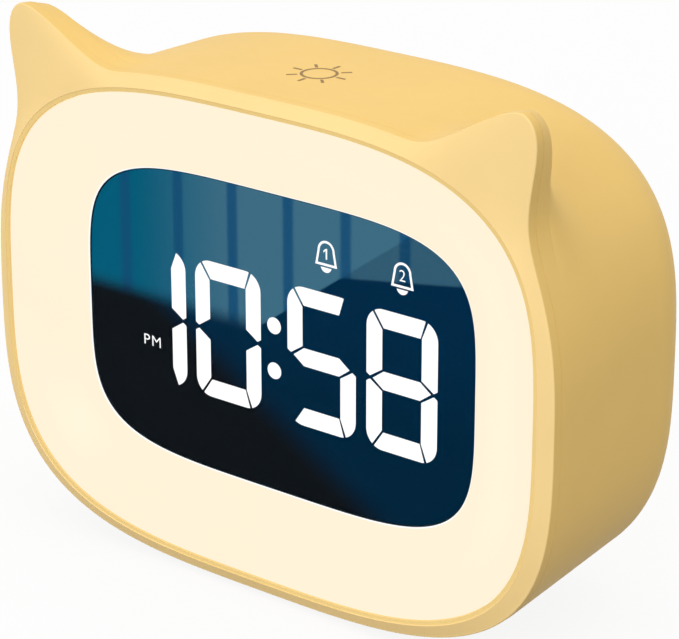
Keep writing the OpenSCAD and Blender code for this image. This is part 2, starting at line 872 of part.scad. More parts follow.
module housing_inside() {
  in_wall_at = inner_wall_at + into_wall;
  ring_r = speaker_r + speaker_ring_gap;
  at_corners(post_x, post_z) rod([0, 0], post_r, post_joint_at, in_wall_at);
  main_screws_at() rod([0, 0], board_post_r, main_board_back_at, in_wall_at);
  speaker_screws_at() rod([0, 0], speaker_post_r, speaker_flange_at, in_wall_at);
  difference() {
    rod([speaker_x, 0], ring_r + speaker_ring_t, speaker_flange_at, in_wall_at);
    rod([speaker_x, 0], ring_r, speaker_flange_at - 1, inner_wall_at);
  }
  battery_saddles();
  translate([0, front_y + touch_at, mid_z + inner_top - sensor_seat])
    cylinder(r = sensor_seat_r, h = sensor_seat + into_wall);
}

module housing_cuts() {
  head_at = post_joint_at + head_floor;
  at_corners(post_x, post_z) {
    rod([0, 0], counterbore_r, head_at, body_d + 1);
    rod([0, 0], screw_hole_r, post_joint_at - 1, head_at + 1);
  }
  main_screws_at()
    rod([0, 0], small_screw_r, main_board_back_at - 1, main_board_at + small_screw_l);
  speaker_screws_at()
    rod([0, 0], small_screw_r, speaker_flange_at - 1, speaker_flange_at + speaker_screw_l);
  for (i = [0:3])
    rod(button_at(i), button_d / 2 + running, inner_wall_at - 1, body_d + 1);
  slot = [knob_size[0] + slide_travel + 2 * knob_gap, knob_size[1] + 2 * knob_gap];
  block([controls_x, switch_z], slot, inner_wall_at - 1, body_d + 1);
  slab(inner_wall_at - 1, body_d + 1)
    translate([controls_x, usb_z]) stadium(usb_w + 2 * knob_gap, usb_h + 2 * knob_gap);
  grille_holes();
  foot_pockets();
}

module rear_housing() {
  color(shell_yellow) difference() {
    union() {
      housing_shell();
      housing_inside();
    }
    housing_cuts();
  }
}

module housing_screws() {
  seat = post_joint_at + head_floor;
  color(part_steel) at_corners(post_x, post_z)
    screw([0, 0], screw_r, screw_head_r, screw_head_h, seat, seat - screw_grip);
}

module foot(side, front) {
  color([0.9, 0.9, 0.88])
    translate([side * foot_pitch / 2, front_y + (front ? foot_front_at : foot_rear_at), 0])
      cylinder(r = foot_r, h = foot_top(front));
}

// ---------- main board ----------

module main_board() {
  color(board_green) difference() {
    block([main_board_x, main_board_z], [main_board_w, main_board_h],
          main_board_at, main_board_back_at);
    main_screws_at() rod([0, 0], small_screw_hole_r, 0, body_d);
  }
}

module main_board_screws() {
  color(part_steel) main_screws_at()
    screw([0, 0], small_screw_r, small_head_r, small_head_h, main_board_at,
          main_board_at + small_screw_l);
}

// Square chip on the board's front face; at is counted from the board's middle
module board_chip(at, size, t) {
  color(part_black) block([main_board_x, main_board_z] + at, size, main_board_at - t, main_board_at);
}

module controller_chip() {
  board_chip([0, 4], [7, 7], 1.4);
}

module audio_chip() {
  board_chip([-7, -8], [5, 4], 1.5);
}

module power_capacitor() {
  at = [main_board_x + 8, main_board_z + 14];
  can_r = 2.5;
  can_l = 5.4;
  color([0.2, 0.22, 0.3]) rod(at, can_r, main_board_at - can_l, main_board_at);
}

module clock_crystal() {
  at = [main_board_x - 8, main_board_z + 14];
  size = [8, 3];
  height = 3;
  color(part_steel) slab(main_board_at - height, main_board_at)
    translate(at) stadium(size[0], size[1]);
}

module usb_shell() {
  color(part_steel) slab(main_board_back_at, body_d - usb_set_back)
    translate([controls_x, usb_z]) difference() {
      stadium(usb_w, usb_h);
      stadium(usb_w - 2 * usb_wall, usb_h - 2 * usb_wall);
    }
}

module usb_tongue() {
  inside = [usb_w - 2 * usb_wall, usb_h - 2 * usb_wall];
  color(part_black) {
    slab(main_board_back_at, main_board_back_at + usb_base_t)
      translate([controls_x, usb_z]) stadium(inside[0], inside[1]);
    block([controls_x, usb_z], usb_tongue_size, main_board_back_at + usb_base_t / 2,
          body_d - usb_set_back - usb_tongue_short);
  }
}

module touch_sensor() {
  color(board_green)
    translate([0, front_y + touch_at, mid_z + inner_top - sensor_seat - sensor_t])
      cylinder(r = sensor_r, h = sensor_t);
}

// ---------- battery ----------

module battery_cell() {
  color([0.25, 0.5, 0.75]) {
    cell_rod(cell_r, cell_l - 2 * cell_cap_l);
    cell_rod(cell_cap_r, cell_l);
  }
}

module battery_pads() {
  color([0.85, 0.85, 0.8])
    for (side = [-1, 1])
      intersection() {
        difference() {
          cell_rod(cell_r + pad_t - pad_gap, body_w);
          cell_rod(cell_r + pad_gap, body_w);
        }
        block([side * saddle_x, cell_z - cell_r], [saddle_t, cell_r], 0, body_d);
      }
}

// ---------- speaker ----------

// Turned piece on the speaker's axis; a profile point is [radius, depth]
module turned(points) {
  translate([speaker_x, front_y, mid_z])
    rotate([-90, 0, 0]) rotate_extrude() polygon(points);
}

module speaker_gasket() {
  inner_r = speaker_r - gasket_w;
  from = inner_wall_at - gasket_t;
  color(part_black)
    turned([[inner_r, from], [speaker_r, from], [speaker_r, inner_wall_at], [inner_r, inner_wall_at]]);
}

module speaker_frame() {
  at = speaker_flange_at;
  rim = at + speaker_flange_t;
  land_r = speaker_r - basket_land;
  hub_r = magnet_r - basket_open;
  cup_at = at - basket_l;
  color(part_steel) turned([
    [speaker_r, at], [speaker_r, rim], [land_r, rim], [land_r, at + basket_t / 2],
    [magnet_r, cup_at + basket_t], [hub_r, cup_at + basket_t],
    [hub_r, cup_at], [magnet_r + basket_t, cup_at], [land_r + basket_t, at]
  ]);
}

module speaker_cone() {
  rim = speaker_flange_at + speaker_flange_t;
  edge_r = speaker_r - basket_land;
  roll_r = edge_r - cone_roll;
  neck = rim - cone_drop;
  tip = neck + dome_rise;
  color([0.2, 0.2, 0.22]) turned([
    [edge_r, rim - cone_t], [edge_r, rim], [roll_r, rim], [cone_apex_r, neck], [0, tip],
    [0, tip - cone_t], [cone_apex_r, neck - cone_t], [roll_r, rim - cone_t]
  ]);
}

module speaker_magnet() {
  at = speaker_flange_at - basket_l;
  color(part_black) rod([speaker_x, 0], magnet_r, at - magnet_l, at);
}

module speaker_screws() {
  color(part_steel) speaker_screws_at()
    screw([0, 0], small_screw_r, speaker_screw_head_r, speaker_screw_head_h, speaker_flange_at,
          speaker_flange_at + speaker_screw_l);
}

// ---------- switches and buttons ----------

module switch_case() {
  slot = [knob_post + slide_travel + 2 * knob_post_gap, knob_post + 2 * knob_post_gap];
  back = main_board_back_at + switch_case_h;
  color(part_steel) difference() {
    block([controls_x, switch_z], switch_case_size, main_board_back_at, back);
    block([controls_x, switch_z], slot, back - knob_post_in - knob_post_room, back + 1);
  }
}

module switch_knob() {
  at = [controls_x - slide_travel / 2, switch_z];
  back = main_board_back_at + switch_case_h;
  color([0.95, 0.94, 0.9]) {
    block(at, [knob_post, knob_post], back - knob_post_in, knob_under_at + knob_under / 2);
    block(at, knob_size, knob_under_at, body_d + knob_proud);
  }
}

module tact_switch(i) {
  color(part_black) difference() {
    block(button_at(i), [tact_w, tact_w], main_board_back_at, tact_back_at);
    rod(button_at(i), plunger_r + running,
        tact_back_at - plunger_in - plunger_room - button_travel, tact_back_at + 1);
  }
}

module plunger(i) {
  color([0.85, 0.85, 0.85])
    rod(button_at(i), plunger_r, tact_back_at - plunger_in, button_under_at);
}

module button(i) {
  color([0.98, 0.9, 0.68]) {
    rod(button_at(i), button_d / 2, button_under_at, body_d + button_proud);
    rod(button_at(i), button_d / 2 + button_flange_w, button_under_at,
        button_under_at + button_flange_t);
  }
}

front_bezel();
night_light_diffuser();
display_lens();
display_gasket();
display_reflector();
lit_segments();
unlit_segments();
colon_dots();
indicator_windows();
display_board();
display_leds();
display_board_screws();
night_light_board();
night_light_leds();
inner_frame();
rear_housing();
housing_screws();
foot(-1, true);  // foot_front_left
foot(1, true);  // foot_front_right
foot(-1, false);  // foot_rear_left
foot(1, false);  // foot_rear_right
main_board();
main_board_screws();
controller_chip();
audio_chip();
power_capacitor();
clock_crystal();
usb_shell();
usb_tongue();
touch_sensor();
battery_cell();
battery_pads();
speaker_gasket();
speaker_frame();
speaker_cone();
speaker_magnet();
speaker_screws();
switch_case();
switch_knob();
tact_switch(0);  // tact_switch_1
tact_switch(1);  // tact_switch_2
tact_switch(2);  // tact_switch_3
tact_switch(3);  // tact_switch_4
button(0);  // button_1
button(1);  // button_2
button(2);  // button_3
button(3);  // button_4
plunger(0);  // plunger_1
plunger(1);  // plunger_2
plunger(2);  // plunger_3
plunger(3);  // plunger_4
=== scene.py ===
"""Looks of a children's alarm clock with a night light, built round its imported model.

The front faces -Y, +X is to the right of someone who looks at the front, and +Z is up. Sizes are
written in millimetres. A place on the clock is (x, z, depth): x and z are counted from the middle
of the body, and depth runs backwards from the plane of the bezel's outer edge.
"""
import json
import logging
import math
from contextlib import contextmanager
from dataclasses import dataclass
from enum import Enum
from typing import Callable, Iterator, Sequence

import bmesh
import bpy
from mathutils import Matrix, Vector


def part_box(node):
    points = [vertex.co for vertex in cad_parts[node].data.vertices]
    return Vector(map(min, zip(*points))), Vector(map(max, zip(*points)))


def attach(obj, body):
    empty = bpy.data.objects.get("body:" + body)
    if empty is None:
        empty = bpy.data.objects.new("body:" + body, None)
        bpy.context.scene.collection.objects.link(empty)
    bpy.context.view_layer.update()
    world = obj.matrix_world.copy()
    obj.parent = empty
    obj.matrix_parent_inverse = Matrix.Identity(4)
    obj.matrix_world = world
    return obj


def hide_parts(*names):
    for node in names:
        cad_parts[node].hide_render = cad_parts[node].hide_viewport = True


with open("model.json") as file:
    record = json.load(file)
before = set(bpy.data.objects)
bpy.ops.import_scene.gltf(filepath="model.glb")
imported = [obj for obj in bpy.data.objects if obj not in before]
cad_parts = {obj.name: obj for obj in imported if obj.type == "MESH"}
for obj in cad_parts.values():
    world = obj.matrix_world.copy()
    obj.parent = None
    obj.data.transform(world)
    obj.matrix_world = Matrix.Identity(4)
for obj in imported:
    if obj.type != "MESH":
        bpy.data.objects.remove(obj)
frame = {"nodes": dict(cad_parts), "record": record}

log = logging.getLogger("clock")

MM = 0.001
Reach = Callable[[float], float]
Colour = tuple[float, float, float]
Axes = tuple[float, float, float]
Place = tuple[float, float]
WHITE: Colour = (1.0, 1.0, 1.0)
BLACK: Colour = (0.0, 0.0, 0.0)


# ---------------------------------------------------------------- shader graphs


def srgb(red: int, green: int, blue: int) -> Colour:
    """Turns a colour of 0 to 255 a channel into the linear values that shaders use.

    Args:
        red: Red channel.
        green: Green channel.
        blue: Blue channel.

    Returns:
        The three linear channels.
    """
    def linear(channel: int) -> float:
        """Returns one channel without its display curve."""
        share = channel / 255
        return share / 12.92 if share <= 0.04045 else ((share + 0.055) / 1.055) ** 2.4

    return linear(red), linear(green), linear(blue)


def toned(colour: Colour, share: float, lift: float = 0.0) -> Colour:
    """Returns a colour with each channel multiplied by share and raised by lift."""
    red, green, blue = (channel * share + lift for channel in colour)
    return red, green, blue


class Socket:
    """An output socket of a shader graph that can be used in arithmetic."""

    def __init__(self, graph: "Graph", output: bpy.types.NodeSocket) -> None:
        """Keeps the graph and the output that later nodes link to."""
        self.graph = graph
        self.output = output

    def _maths(self, operation: str, *values: "Socket | float") -> "Socket":
        """Adds one Math node.

        Args:
            operation: Blender's name of the operation.
            values: Its inputs, in order.

        Returns:
            The node's value.
        """
        inputs = dict(enumerate(values))
        return self.graph.node("ShaderNodeMath", {"operation": operation}, inputs).value(0)

    def __add__(self, other: "Socket | float") -> "Socket":
        """Returns the sum."""
        return self._maths("ADD", self, other)

    __radd__ = __add__

    def __sub__(self, other: "Socket | float") -> "Socket":
        """Returns the difference."""
        return self._maths("SUBTRACT", self, other)

    def __rsub__(self, other: "Socket | float") -> "Socket":
        """Returns the difference, with this socket taken away."""
        return self._maths("SUBTRACT", other, self)

    def __mul__(self, other: "Socket | float") -> "Socket":
        """Returns the product."""
        return self._maths("MULTIPLY", self, other)

    __rmul__ = __mul__

    def sine(self) -> "Socket":
        """Returns the sine of an angle in radians."""
        return self._maths("SINE", self)

    def fade(self, start: float, end: float) -> "Socket":
        """Rises smoothly from 0 at start to 1 at end.

        Args:
            start: Value that gives 0.
            end: Value that gives 1. It may be below start.

        Returns:
            The share between the two.
        """
        settings = {"interpolation_type": "SMOOTHSTEP"}
        inputs = {"Value": self, "From Min": start, "From Max": end}
        return self.graph.node("ShaderNodeMapRange", settings, inputs).value("Result")


class Node:
    """A node of a shader graph."""

    def __init__(self, graph: "Graph", made: bpy.types.Node) -> None:
        """Keeps the graph and Blender's own node."""
        self.graph = graph
        self.made = made

    def value(self, name: str | int = 0) -> Socket:
        """Returns one of the node's outputs."""
        return Socket(self.graph, self.made.outputs[name])


class Graph:
    """The node tree of a new material or of the world."""

    def __init__(self, owner: bpy.types.Material | bpy.types.World) -> None:
        """Empties the owner's node tree.

        Args:
            owner: A material or a world.
        """
        owner.use_nodes = True
        self.tree = owner.node_tree
        self.tree.nodes.clear()

    def node(self, kind: str, settings: dict | None = None, inputs: dict | None = None) -> Node:
        """Makes any node: its settings come first, then its sockets.

        Args:
            kind: Blender's node type.
            settings: Properties of the node, such as the operation of a Math node.
            inputs: Values or sockets for the inputs, by name or by number.

        Returns:
            The node.
        """
        made = self.tree.nodes.new(kind)
        for name, setting in (settings or {}).items():
            setattr(made, name, setting)
        for name, given in (inputs or {}).items():
            if isinstance(given, Socket):
                self.tree.links.new(given.output, made.inputs[name])
            elif isinstance(given, tuple) and made.inputs[name].type == "RGBA":
                made.inputs[name].default_value = (*given, 1.0)
            else:
                made.inputs[name].default_value = given
        return Node(self, made)

    def place(self) -> Socket:
        """Returns the place on the piece, in metres, from Object coordinates."""
        return self.node("ShaderNodeTexCoord").value("Object")

    def split(self, vector: Socket) -> tuple[Socket, Socket, Socket]:
        """Returns a vector's three parts."""
        parts = self.node("ShaderNodeSeparateXYZ", None, {0: vector})
        return parts.value("X"), parts.value("Y"), parts.value("Z")

    def noise(self, scale: float, detail: float = 2.0, stretch: Axes = (1, 1, 1)) -> Socket:
        """Adds a noise pattern on Object coordinates.

        Args:
            scale: Bumps to a metre.
            detail: Octaves.
            stretch: Scale along each axis.

        Returns:
            A value round 0.5.
        """
        mapping = self.node("ShaderNodeMapping", None, {"Vector": self.place(), "Scale": stretch})
        inputs = {"Vector": mapping.value(), "Scale": scale, "Detail": detail}
        return self.node("ShaderNodeTexNoise", None, inputs).value(0)

    def blend(self, share: Socket | float, low: Socket | Colour, high: Socket | Colour) -> Socket:
        """Mixes two colours.

        Args:
            share: 0 gives low and 1 gives high.
            low: First colour.
            high: Second colour.

        Returns:
            The mixed colour.
        """
        inputs = {"Factor": share, 6: low, 7: high}
        return self.node("ShaderNodeMix", {"data_type": "RGBA"}, inputs).value(2)

    def bump(self, height: Socket, depth: float) -> Socket:
        """Adds a Bump node.

        Args:
            height: Pattern of 0 to 1.
            depth: What a height of 1 means, in millimetres.

        Returns:
            The normal.
        """
        inputs = {"Strength": 1.0, "Distance": depth * MM, "Height": height}
        return self.node("ShaderNodeBump", None, inputs).value()

    def surface(self, inputs: dict) -> None:
        """Ends the graph with a Principled shader."""
        shader = self.node("ShaderNodeBsdfPrincipled", None, inputs)
        self.node("ShaderNodeOutputMaterial", None, {"Surface": shader.value()})


# ---------------------------------------------------------------- finishes


@dataclass(frozen=True)
class Finish:
    """A finish. Its material is made when the first piece asks for it.

    Attributes:
        name: Name of the material.
    """

    name: str

    def material(self) -> bpy.types.Material:
        """Returns the finish's material."""
        found = bpy.data.materials.get(self.name)
        if found is None:
            found = bpy.data.materials.new(self.name)
            self.paint(Graph(found))
        return found

    def paint(self, graph: Graph) -> None:
        """Builds the nodes. Each kind of finish has its own."""
        raise NotImplementedError


@dataclass(frozen=True)
class MouldedPlastic(Finish):
    """Opaque moulded plastic with a fine sparked texture.

    Attributes:
        colour: Colour of the plastic.
        roughness: Mean roughness.
        texture: Depth of the sparked texture, in millimetres.
        coat: Strength of the shine that lies over the texture.
        mottle: How much darker the plastic gets in its faint clouds.
        shine: Specular level.
        uneven: How much the roughness changes from patch to patch.
        cloud_scale: Clouds to a metre.
        patch_scale: Patches to a metre.
        spark_scale: Bumps of the sparked texture to a metre.
    """

    colour: Colour
    roughness: float = 0.45
    texture: float = 0.006
    coat: float = 0.0
    mottle: float = 0.03
    shine: float = 0.14
    uneven: float = 0.12
    cloud_scale: float = 55
    patch_scale: float = 420
    spark_scale: float = 2600

    def paint(self, graph: Graph) -> None:
        """Adds clouds, uneven roughness and the sparked texture."""
        clouds = graph.noise(self.cloud_scale, 3).fade(0.3, 0.7)
        graph.surface({
            "Base Color": graph.blend(clouds, toned(self.colour, 1 - self.mottle), self.colour),
            "Roughness": self.roughness + (graph.noise(self.patch_scale) - 0.5) * self.uneven,
            "Normal": graph.bump(graph.noise(self.spark_scale), self.texture),
            "Coat Weight": self.coat,
            "Coat Roughness": 0.25,
            "Specular IOR Level": self.shine,
        })


@dataclass(frozen=True)
class GlowingPanel(Finish):
    """Milky plastic that is lit from behind.

    Attributes:
        colour: Colour of the light that comes through.
        glow: Strength of that light.
        body: Share of the colour that the unlit plastic has.
        dimmest: Share of the light that is left in the dimmest clouds.
        roughness: Mean roughness.
        uneven: How much the roughness changes from patch to patch.
        grain: Depth of the surface grain, in millimetres.
        cloud_scale: Clouds to a metre.
        patch_scale: Patches to a metre.
        grain_scale: Bumps of the grain to a metre.
    """

    colour: Colour
    glow: float
    body: float
    dimmest: float = 0.985
    roughness: float = 0.4
    uneven: float = 0.1
    grain: float = 0.003
    cloud_scale: float = 38
    patch_scale: float = 500
    grain_scale: float = 2200

    def paint(self, graph: Graph) -> None:
        """Lets the glow vary a little, as the lamps behind it stand apart."""
        clouds = graph.noise(self.cloud_scale).fade(0.25, 0.75)
        graph.surface({
            "Base Color": toned(self.colour, self.body),
            "Roughness": self.roughness + (graph.noise(self.patch_scale) - 0.5) * self.uneven,
            "Emission Color": graph.blend(clouds, toned(self.colour, self.dimmest), self.colour),
            "Emission Strength": self.glow,
            "Specular IOR Level": 0.25,
            "Normal": graph.bump(graph.noise(self.grain_scale), self.grain),
        })


@dataclass(frozen=True)
class ClearAcrylic(Finish):
    """Polished clear acrylic.

    Attributes:
        tint: Colour of what shows through.
        shine: Specular level, where 0.5 is bare acrylic.
        bending: Refractive index. A low one stands for a face that is coated against glare.
        smear: Roughness in a smear.
        smear_scale: Smears to a metre.
    """

    tint: Colour
    shine: float
    bending: float = 1.06
    smear: float = 0.004
    smear_scale: float = 60

    def paint(self, graph: Graph) -> None:
        """Adds faint smears to the polish."""
        graph.surface({
            "Base Color": self.tint,
            "Roughness": graph.noise(self.smear_scale).fade(0.45, 0.8) * self.smear,
            "IOR": self.bending,
            "Transmission Weight": 1.0,
            "Specular IOR Level": self.shine,
        })


@dataclass(frozen=True)
class FadeLine:
    """A straight line across the window, over which one colour fades into another.

    Attributes:
        slope: Rise of the line towards the right.
        start: Height at which the fade starts, over the middle of the window.
        end: Height at which it ends. It may be below start.
    """

    slope: float
    start: float
    end: float

    def share(self, x: Socket, z: Socket) -> Socket:
        """Returns 0 on the starting side of the line and 1 on the other side."""
        return (z - x * self.slope).fade(self.start * MM, self.end * MM)


@dataclass(frozen=True)
class PaintedReflectionFilm(Finish):
    """Dark film behind the lens, glowing with a painted reflection: a slant-edged teal sheen above navy
    and near black.

    Attributes:
        teal: Colour of the painted sheen at the left.
        reflection_haze: Colour of the painted sheen further to the right.
        reflected_band: Colour of the upright bands in the painted sheen, a painted reflection.
        navy: Colour of the upper right.
        deep: Colour of the lower right.
        night: Colour of the lower left.
        reflection_haze_span: Where teal starts to turn into the painted haze, and where it ends.
        reflected_band_pitch: Distance between the painted bands.
        reflected_band_at: Place of one of the painted bands.
        reflected_band_core: Values of the wave at which a painted band starts to show and shows in
            full.
        reflected_band_share: Strength of the painted bands.
        deep_line: Line over which navy fades into deep.
        night_line: Line over which those two fade into night.
        sheen_line: Lower edge of the full sheen.
        upper_line: Lower edge of the weaker sheen to the right.
        upper_share: Strength of that weaker sheen.
        foot_line: Line over which all of the sheen runs out.
    """

    teal: Colour
    reflection_haze: Colour
    reflected_band: Colour
    navy: Colour
    deep: Colour
    night: Colour
    reflection_haze_span: tuple[float, float] = (-34, -6)
    reflected_band_pitch: float = 13.1
    reflected_band_at: float = 3.4
    reflected_band_core: tuple[float, float] = (0.7, 0.98)
    reflected_band_share: float = 0.88
    deep_line: FadeLine = FadeLine(0, 18, -16)
    night_line: FadeLine = FadeLine(-0.6, -9, -19)
    sheen_line: FadeLine = FadeLine(0.72, 4.9, 5.5)
    upper_line: FadeLine = FadeLine(0.165, 13.4, 14.2)
    upper_share: float = 0.65
    foot_line: FadeLine = FadeLine(0, 0.5, 5)

    def paint(self, graph: Graph) -> None:
        """Blends the colours of the painted reflection over the window, and gives them off as glow."""
        x, _, height = graph.split(graph.place())
        z = height - DATUM.middle
        turn = 2 * math.pi / (self.reflected_band_pitch * MM)
        wave = ((x - self.reflected_band_at * MM) * turn + math.pi / 2).sine()
        reflection_hazy = x.fade(self.reflection_haze_span[0] * MM, self.reflection_haze_span[1] * MM)
        sheen = graph.blend(reflection_hazy, self.teal, self.reflection_haze)
        sheen = graph.blend(wave.fade(*self.reflected_band_core) * self.reflected_band_share, sheen, self.reflected_band)
        ground = graph.blend(self.deep_line.share(x, z), self.navy, self.deep)
        ground = graph.blend(self.night_line.share(x, z), ground, self.night)
        full = self.sheen_line.share(x, z)
        weak = self.upper_line.share(x, z) * self.upper_share
        lit = (full + (1 - full) * weak) * self.foot_line.share(x, z)
        graph.surface({
            "Base Color": BLACK,
            "Roughness": 0.6 + graph.noise(300) * 0.1,
            # The film is no lamp: its glow is painted light, a painted reflection over a dark ground.
            "Emission Color": graph.blend(lit, ground, sheen),
            "Emission Strength": 1.0,
            "Specular IOR Level": 0.0,
        })


@dataclass(frozen=True)
class LitEpoxy(Finish):
    """Milky epoxy over a lamp.

    Attributes:
        colour: Colour of the light.
        glow: Strength of the light.
        body: Tone of the unlit epoxy.
        dimmest: Share of the light that is left where the grain is densest.
        grain_scale: Grains to a metre.
    """

    colour: Colour
    glow: float
    body: float = 0.08
    dimmest: float = 0.99
    grain_scale: float = 900

    def paint(self, graph: Graph) -> None:
        """Gives a steady light with a faint grain."""
        grain = graph.noise(self.grain_scale).fade(0.2, 0.8)
        graph.surface({
            "Base Color": toned(WHITE, self.body),
            "Roughness": 0.4 + grain * 0.1,
            "Emission Color": graph.blend(grain, toned(self.colour, self.dimmest), self.colour),
            "Emission Strength": self.glow,
            "Specular IOR Level": 0.1,
        })


@dataclass(frozen=True)
class SoftRubber(Finish):
    """Dull rubber or foam.

    Attributes:
        colour: Colour of the rubber.
        pore: Depth of its pores, in millimetres.
        roughness: Mean roughness.
        uneven: How much the roughness changes in the pores.
        pore_scale: Pores to a metre.
        dust_scale: Dusty patches to a metre.
    """

    colour: Colour
    pore: float = 0.02
    roughness: float = 0.72
    uneven: float = 0.2
    pore_scale: float = 1500
    dust_scale: float = 160

    def paint(self, graph: Graph) -> None:
        """Adds pores and a dusty bloom."""
        pores = graph.noise(self.pore_scale, 3)
        dust = graph.noise(self.dust_scale, 3).fade(0.35, 0.75)
        graph.surface({
            "Base Color": graph.blend(dust, self.colour, toned(self.colour, 0.85, 0.03)),
            "Roughness": self.roughness + (pores - 0.5) * self.uneven,
            "Normal": graph.bump(pores, self.pore),
            "Specular IOR Level": 0.3,
        })


@dataclass(frozen=True)
class PlatedMetal(Finish):
    """Plated or drawn metal.

    Attributes:
        colour: Colour of the metal.
        roughness: Mean roughness.
        grain: Scale of its fine lines along each axis.
        uneven: How much the roughness changes in the lines.
        line_depth: Depth of the lines, in millimetres.
        line_scale: Lines to a metre.
        wear_scale: Worn patches to a metre.
        worn: Share of the colour that is left in a worn patch.
    """

    colour: Colour
    roughness: float = 0.3
    grain: Axes = (1.0, 0.05, 1.0)
    uneven: float = 0.15
    line_depth: float = 0.002
    line_scale: float = 3200
    wear_scale: float = 240
    worn: float = 0.8

    def paint(self, graph: Graph) -> None:
        """Adds fine drawn lines and worn patches."""
        lines = graph.noise(self.line_scale, 2, self.grain)
        wear = graph.noise(self.wear_scale, 3).fade(0.3, 0.8)
        graph.surface({
            "Base Color": graph.blend(wear, self.colour, toned(self.colour, self.worn)),
            "Metallic": 1.0,
            "Roughness": self.roughness + (lines - 0.5) * self.uneven,
            "Normal": graph.bump(lines, self.line_depth),
        })


@dataclass(frozen=True)
class BoardLaminate(Finish):
    """Circuit board with copper tracks under its solder resist.

    Attributes:
        colour: Colour of the resist over bare laminate.
        track: Colour of the resist over copper.
        rise: Height of a track, in millimetres.
        track_turn: Radians to a metre across the tracks, which sets their pitch.
        area_scale: Areas with upright or level tracks to a metre.
    """

    colour: Colour
    track: Colour
    rise: float = 0.03
    track_turn: float = 2600
    area_scale: float = 130

    def paint(self, graph: Graph) -> None:
        """Draws upright and level tracks."""
        x, _, z = graph.split(graph.place())
        upright = (x * self.track_turn).sine().fade(0.75, 0.9)
        level = (z * self.track_turn).sine().fade(0.8, 0.95)
        chosen = graph.noise(self.area_scale, 1).fade(0.49, 0.51)
        tracks = upright * chosen + level * (1 - chosen)
        graph.surface({
            "Base Color": graph.blend(tracks, self.colour, self.track),
            "Roughness": 0.35 + tracks * 0.1,
            "Normal": graph.bump(tracks, self.rise),
        })


@dataclass(frozen=True)
class PrintedInk(Finish):
    """Ink of a printed sign.

    Attributes:
        colour: Colour of the ink.
        pale: Tone of the ink where it is thin, where 1 is its own.
        thin_scale: Thin patches to a metre.
    """

    colour: Colour
    pale: float = 1.12
    thin_scale: float = 1800

    def paint(self, graph: Graph) -> None:
        """Lets the plastic show faintly where the ink is thin."""
        thin = graph.noise(self.thin_scale, 3).fade(0.4, 0.8)
        graph.surface({
            "Base Color": graph.blend(thin, self.colour, toned(self.colour, self.pale)),
            "Roughness": 0.5 + thin * 0.1,
        })


SHELL = MouldedPlastic("housing_yellow", (1.0, 0.672, 0.212), 0.5, 0.004)
BEZEL = MouldedPlastic("bezel_yellow", (1.0, 0.722, 0.312), 0.5, 0.004)
# Darker yellow of the bezel's sunk land at the inner rim: painted shade of the groove at the panel.
RIM_PAINTED_SHADE = MouldedPlastic("bezel_rim_painted_shade", (0.93, 0.67, 0.26), 0.5, 0.004)
PANEL = GlowingPanel("panel_cream", srgb(255, 241, 214), 0.95, 0.05)
# The rounding round the window glows white.
PANEL_EDGE = GlowingPanel("panel_window_white", WHITE, 0.95, 0.1)
LENS = ClearAcrylic("lens_acrylic", WHITE, 0.02)
# The display film glows with a painted reflection, though it is no lamp.
PAINTED_REFLECTION_FILM = PaintedReflectionFilm("display_film_painted_reflection", srgb(0, 90, 120), srgb(60, 107, 130), srgb(12, 74, 114),
                  srgb(0, 39, 69), srgb(0, 33, 57), srgb(10, 15, 20))
# Near black on the panel's wall beside the lens and round the smoked body: painted shade of the gap
# round the lens.
GAP_PAINTED_SHADE = MouldedPlastic("window_gap_painted_shade", (0.005, 0.014, 0.019), 0.6, shine=0.0)
LIT = LitEpoxy("segment_light", WHITE, 0.97)
INK = PrintedInk("sign_ink", srgb(150, 112, 48))
BUTTON = MouldedPlastic("button_yellow", srgb(250, 226, 172), 0.38, 0.004)
KNOB = MouldedPlastic("knob_white", srgb(240, 236, 226), 0.4, 0.004)
FOOT = SoftRubber("foot_rubber", srgb(226, 219, 203))
SCREW = PlatedMetal("screw_zinc", (0.6, 0.61, 0.63), 0.32)

SLOT_FINISHES: dict[str, Finish] = {
    "shell": SHELL,
    "panel": PANEL,
    "lens": LENS,
    # rubber_dark, reflector and segment_dark get the display film, which glows with a painted
    # reflection.
    "rubber_dark": PAINTED_REFLECTION_FILM,
    "reflector": PAINTED_REFLECTION_FILM,
    "segment_lit": LIT,
    "segment_dark": PAINTED_REFLECTION_FILM,
    "board": BoardLaminate("board_green", (0.02, 0.16, 0.07), (0.05, 0.28, 0.12)),
    "board_white": BoardLaminate("board_white", (0.8, 0.81, 0.78), (0.7, 0.71, 0.68)),
    "lamp": LitEpoxy("night_lamp", srgb(255, 226, 150), 0.9),
    "lamp_white": LitEpoxy("segment_lamp", WHITE, 0.9),
    "frame_white": MouldedPlastic("frame_white", srgb(236, 236, 232), 0.5, 0.01),
    "screw": SCREW,
    "foot": FOOT,
    "chip": MouldedPlastic("chip_black", (0.015, 0.015, 0.017), 0.55, 0.01),
    "can": PlatedMetal("can_aluminium", (0.78, 0.79, 0.8), 0.3),
    "usb_steel": PlatedMetal("inlet_nickel", (0.66, 0.66, 0.64), 0.25),
    "cell": MouldedPlastic("cell_sleeve", (0.03, 0.16, 0.42), 0.3, 0.004, 0.3),
    "pad": SoftRubber("pad_foam", (0.6, 0.6, 0.56)),
    "cone": SoftRubber("cone_paper", (0.02, 0.02, 0.022)),
    "basket": MouldedPlastic("basket_black", (0.03, 0.03, 0.03), 0.4),
    "magnet": MouldedPlastic("magnet_black", (0.05, 0.05, 0.055), 0.6),
    "button": BUTTON,
    "knob": KNOB,
    "plunger": MouldedPlastic("plunger_white", srgb(220, 220, 214), 0.45),
}
NODE_FINISHES: dict[str, Finish] = {
    # The indicator windows get the display film, which glows with a painted reflection.
    "indicator_windows": PAINTED_REFLECTION_FILM,
    "speaker_gasket": SoftRubber("gasket_foam", (0.02, 0.02, 0.02)),
}


# ---------------------------------------------------------------- modelling steps


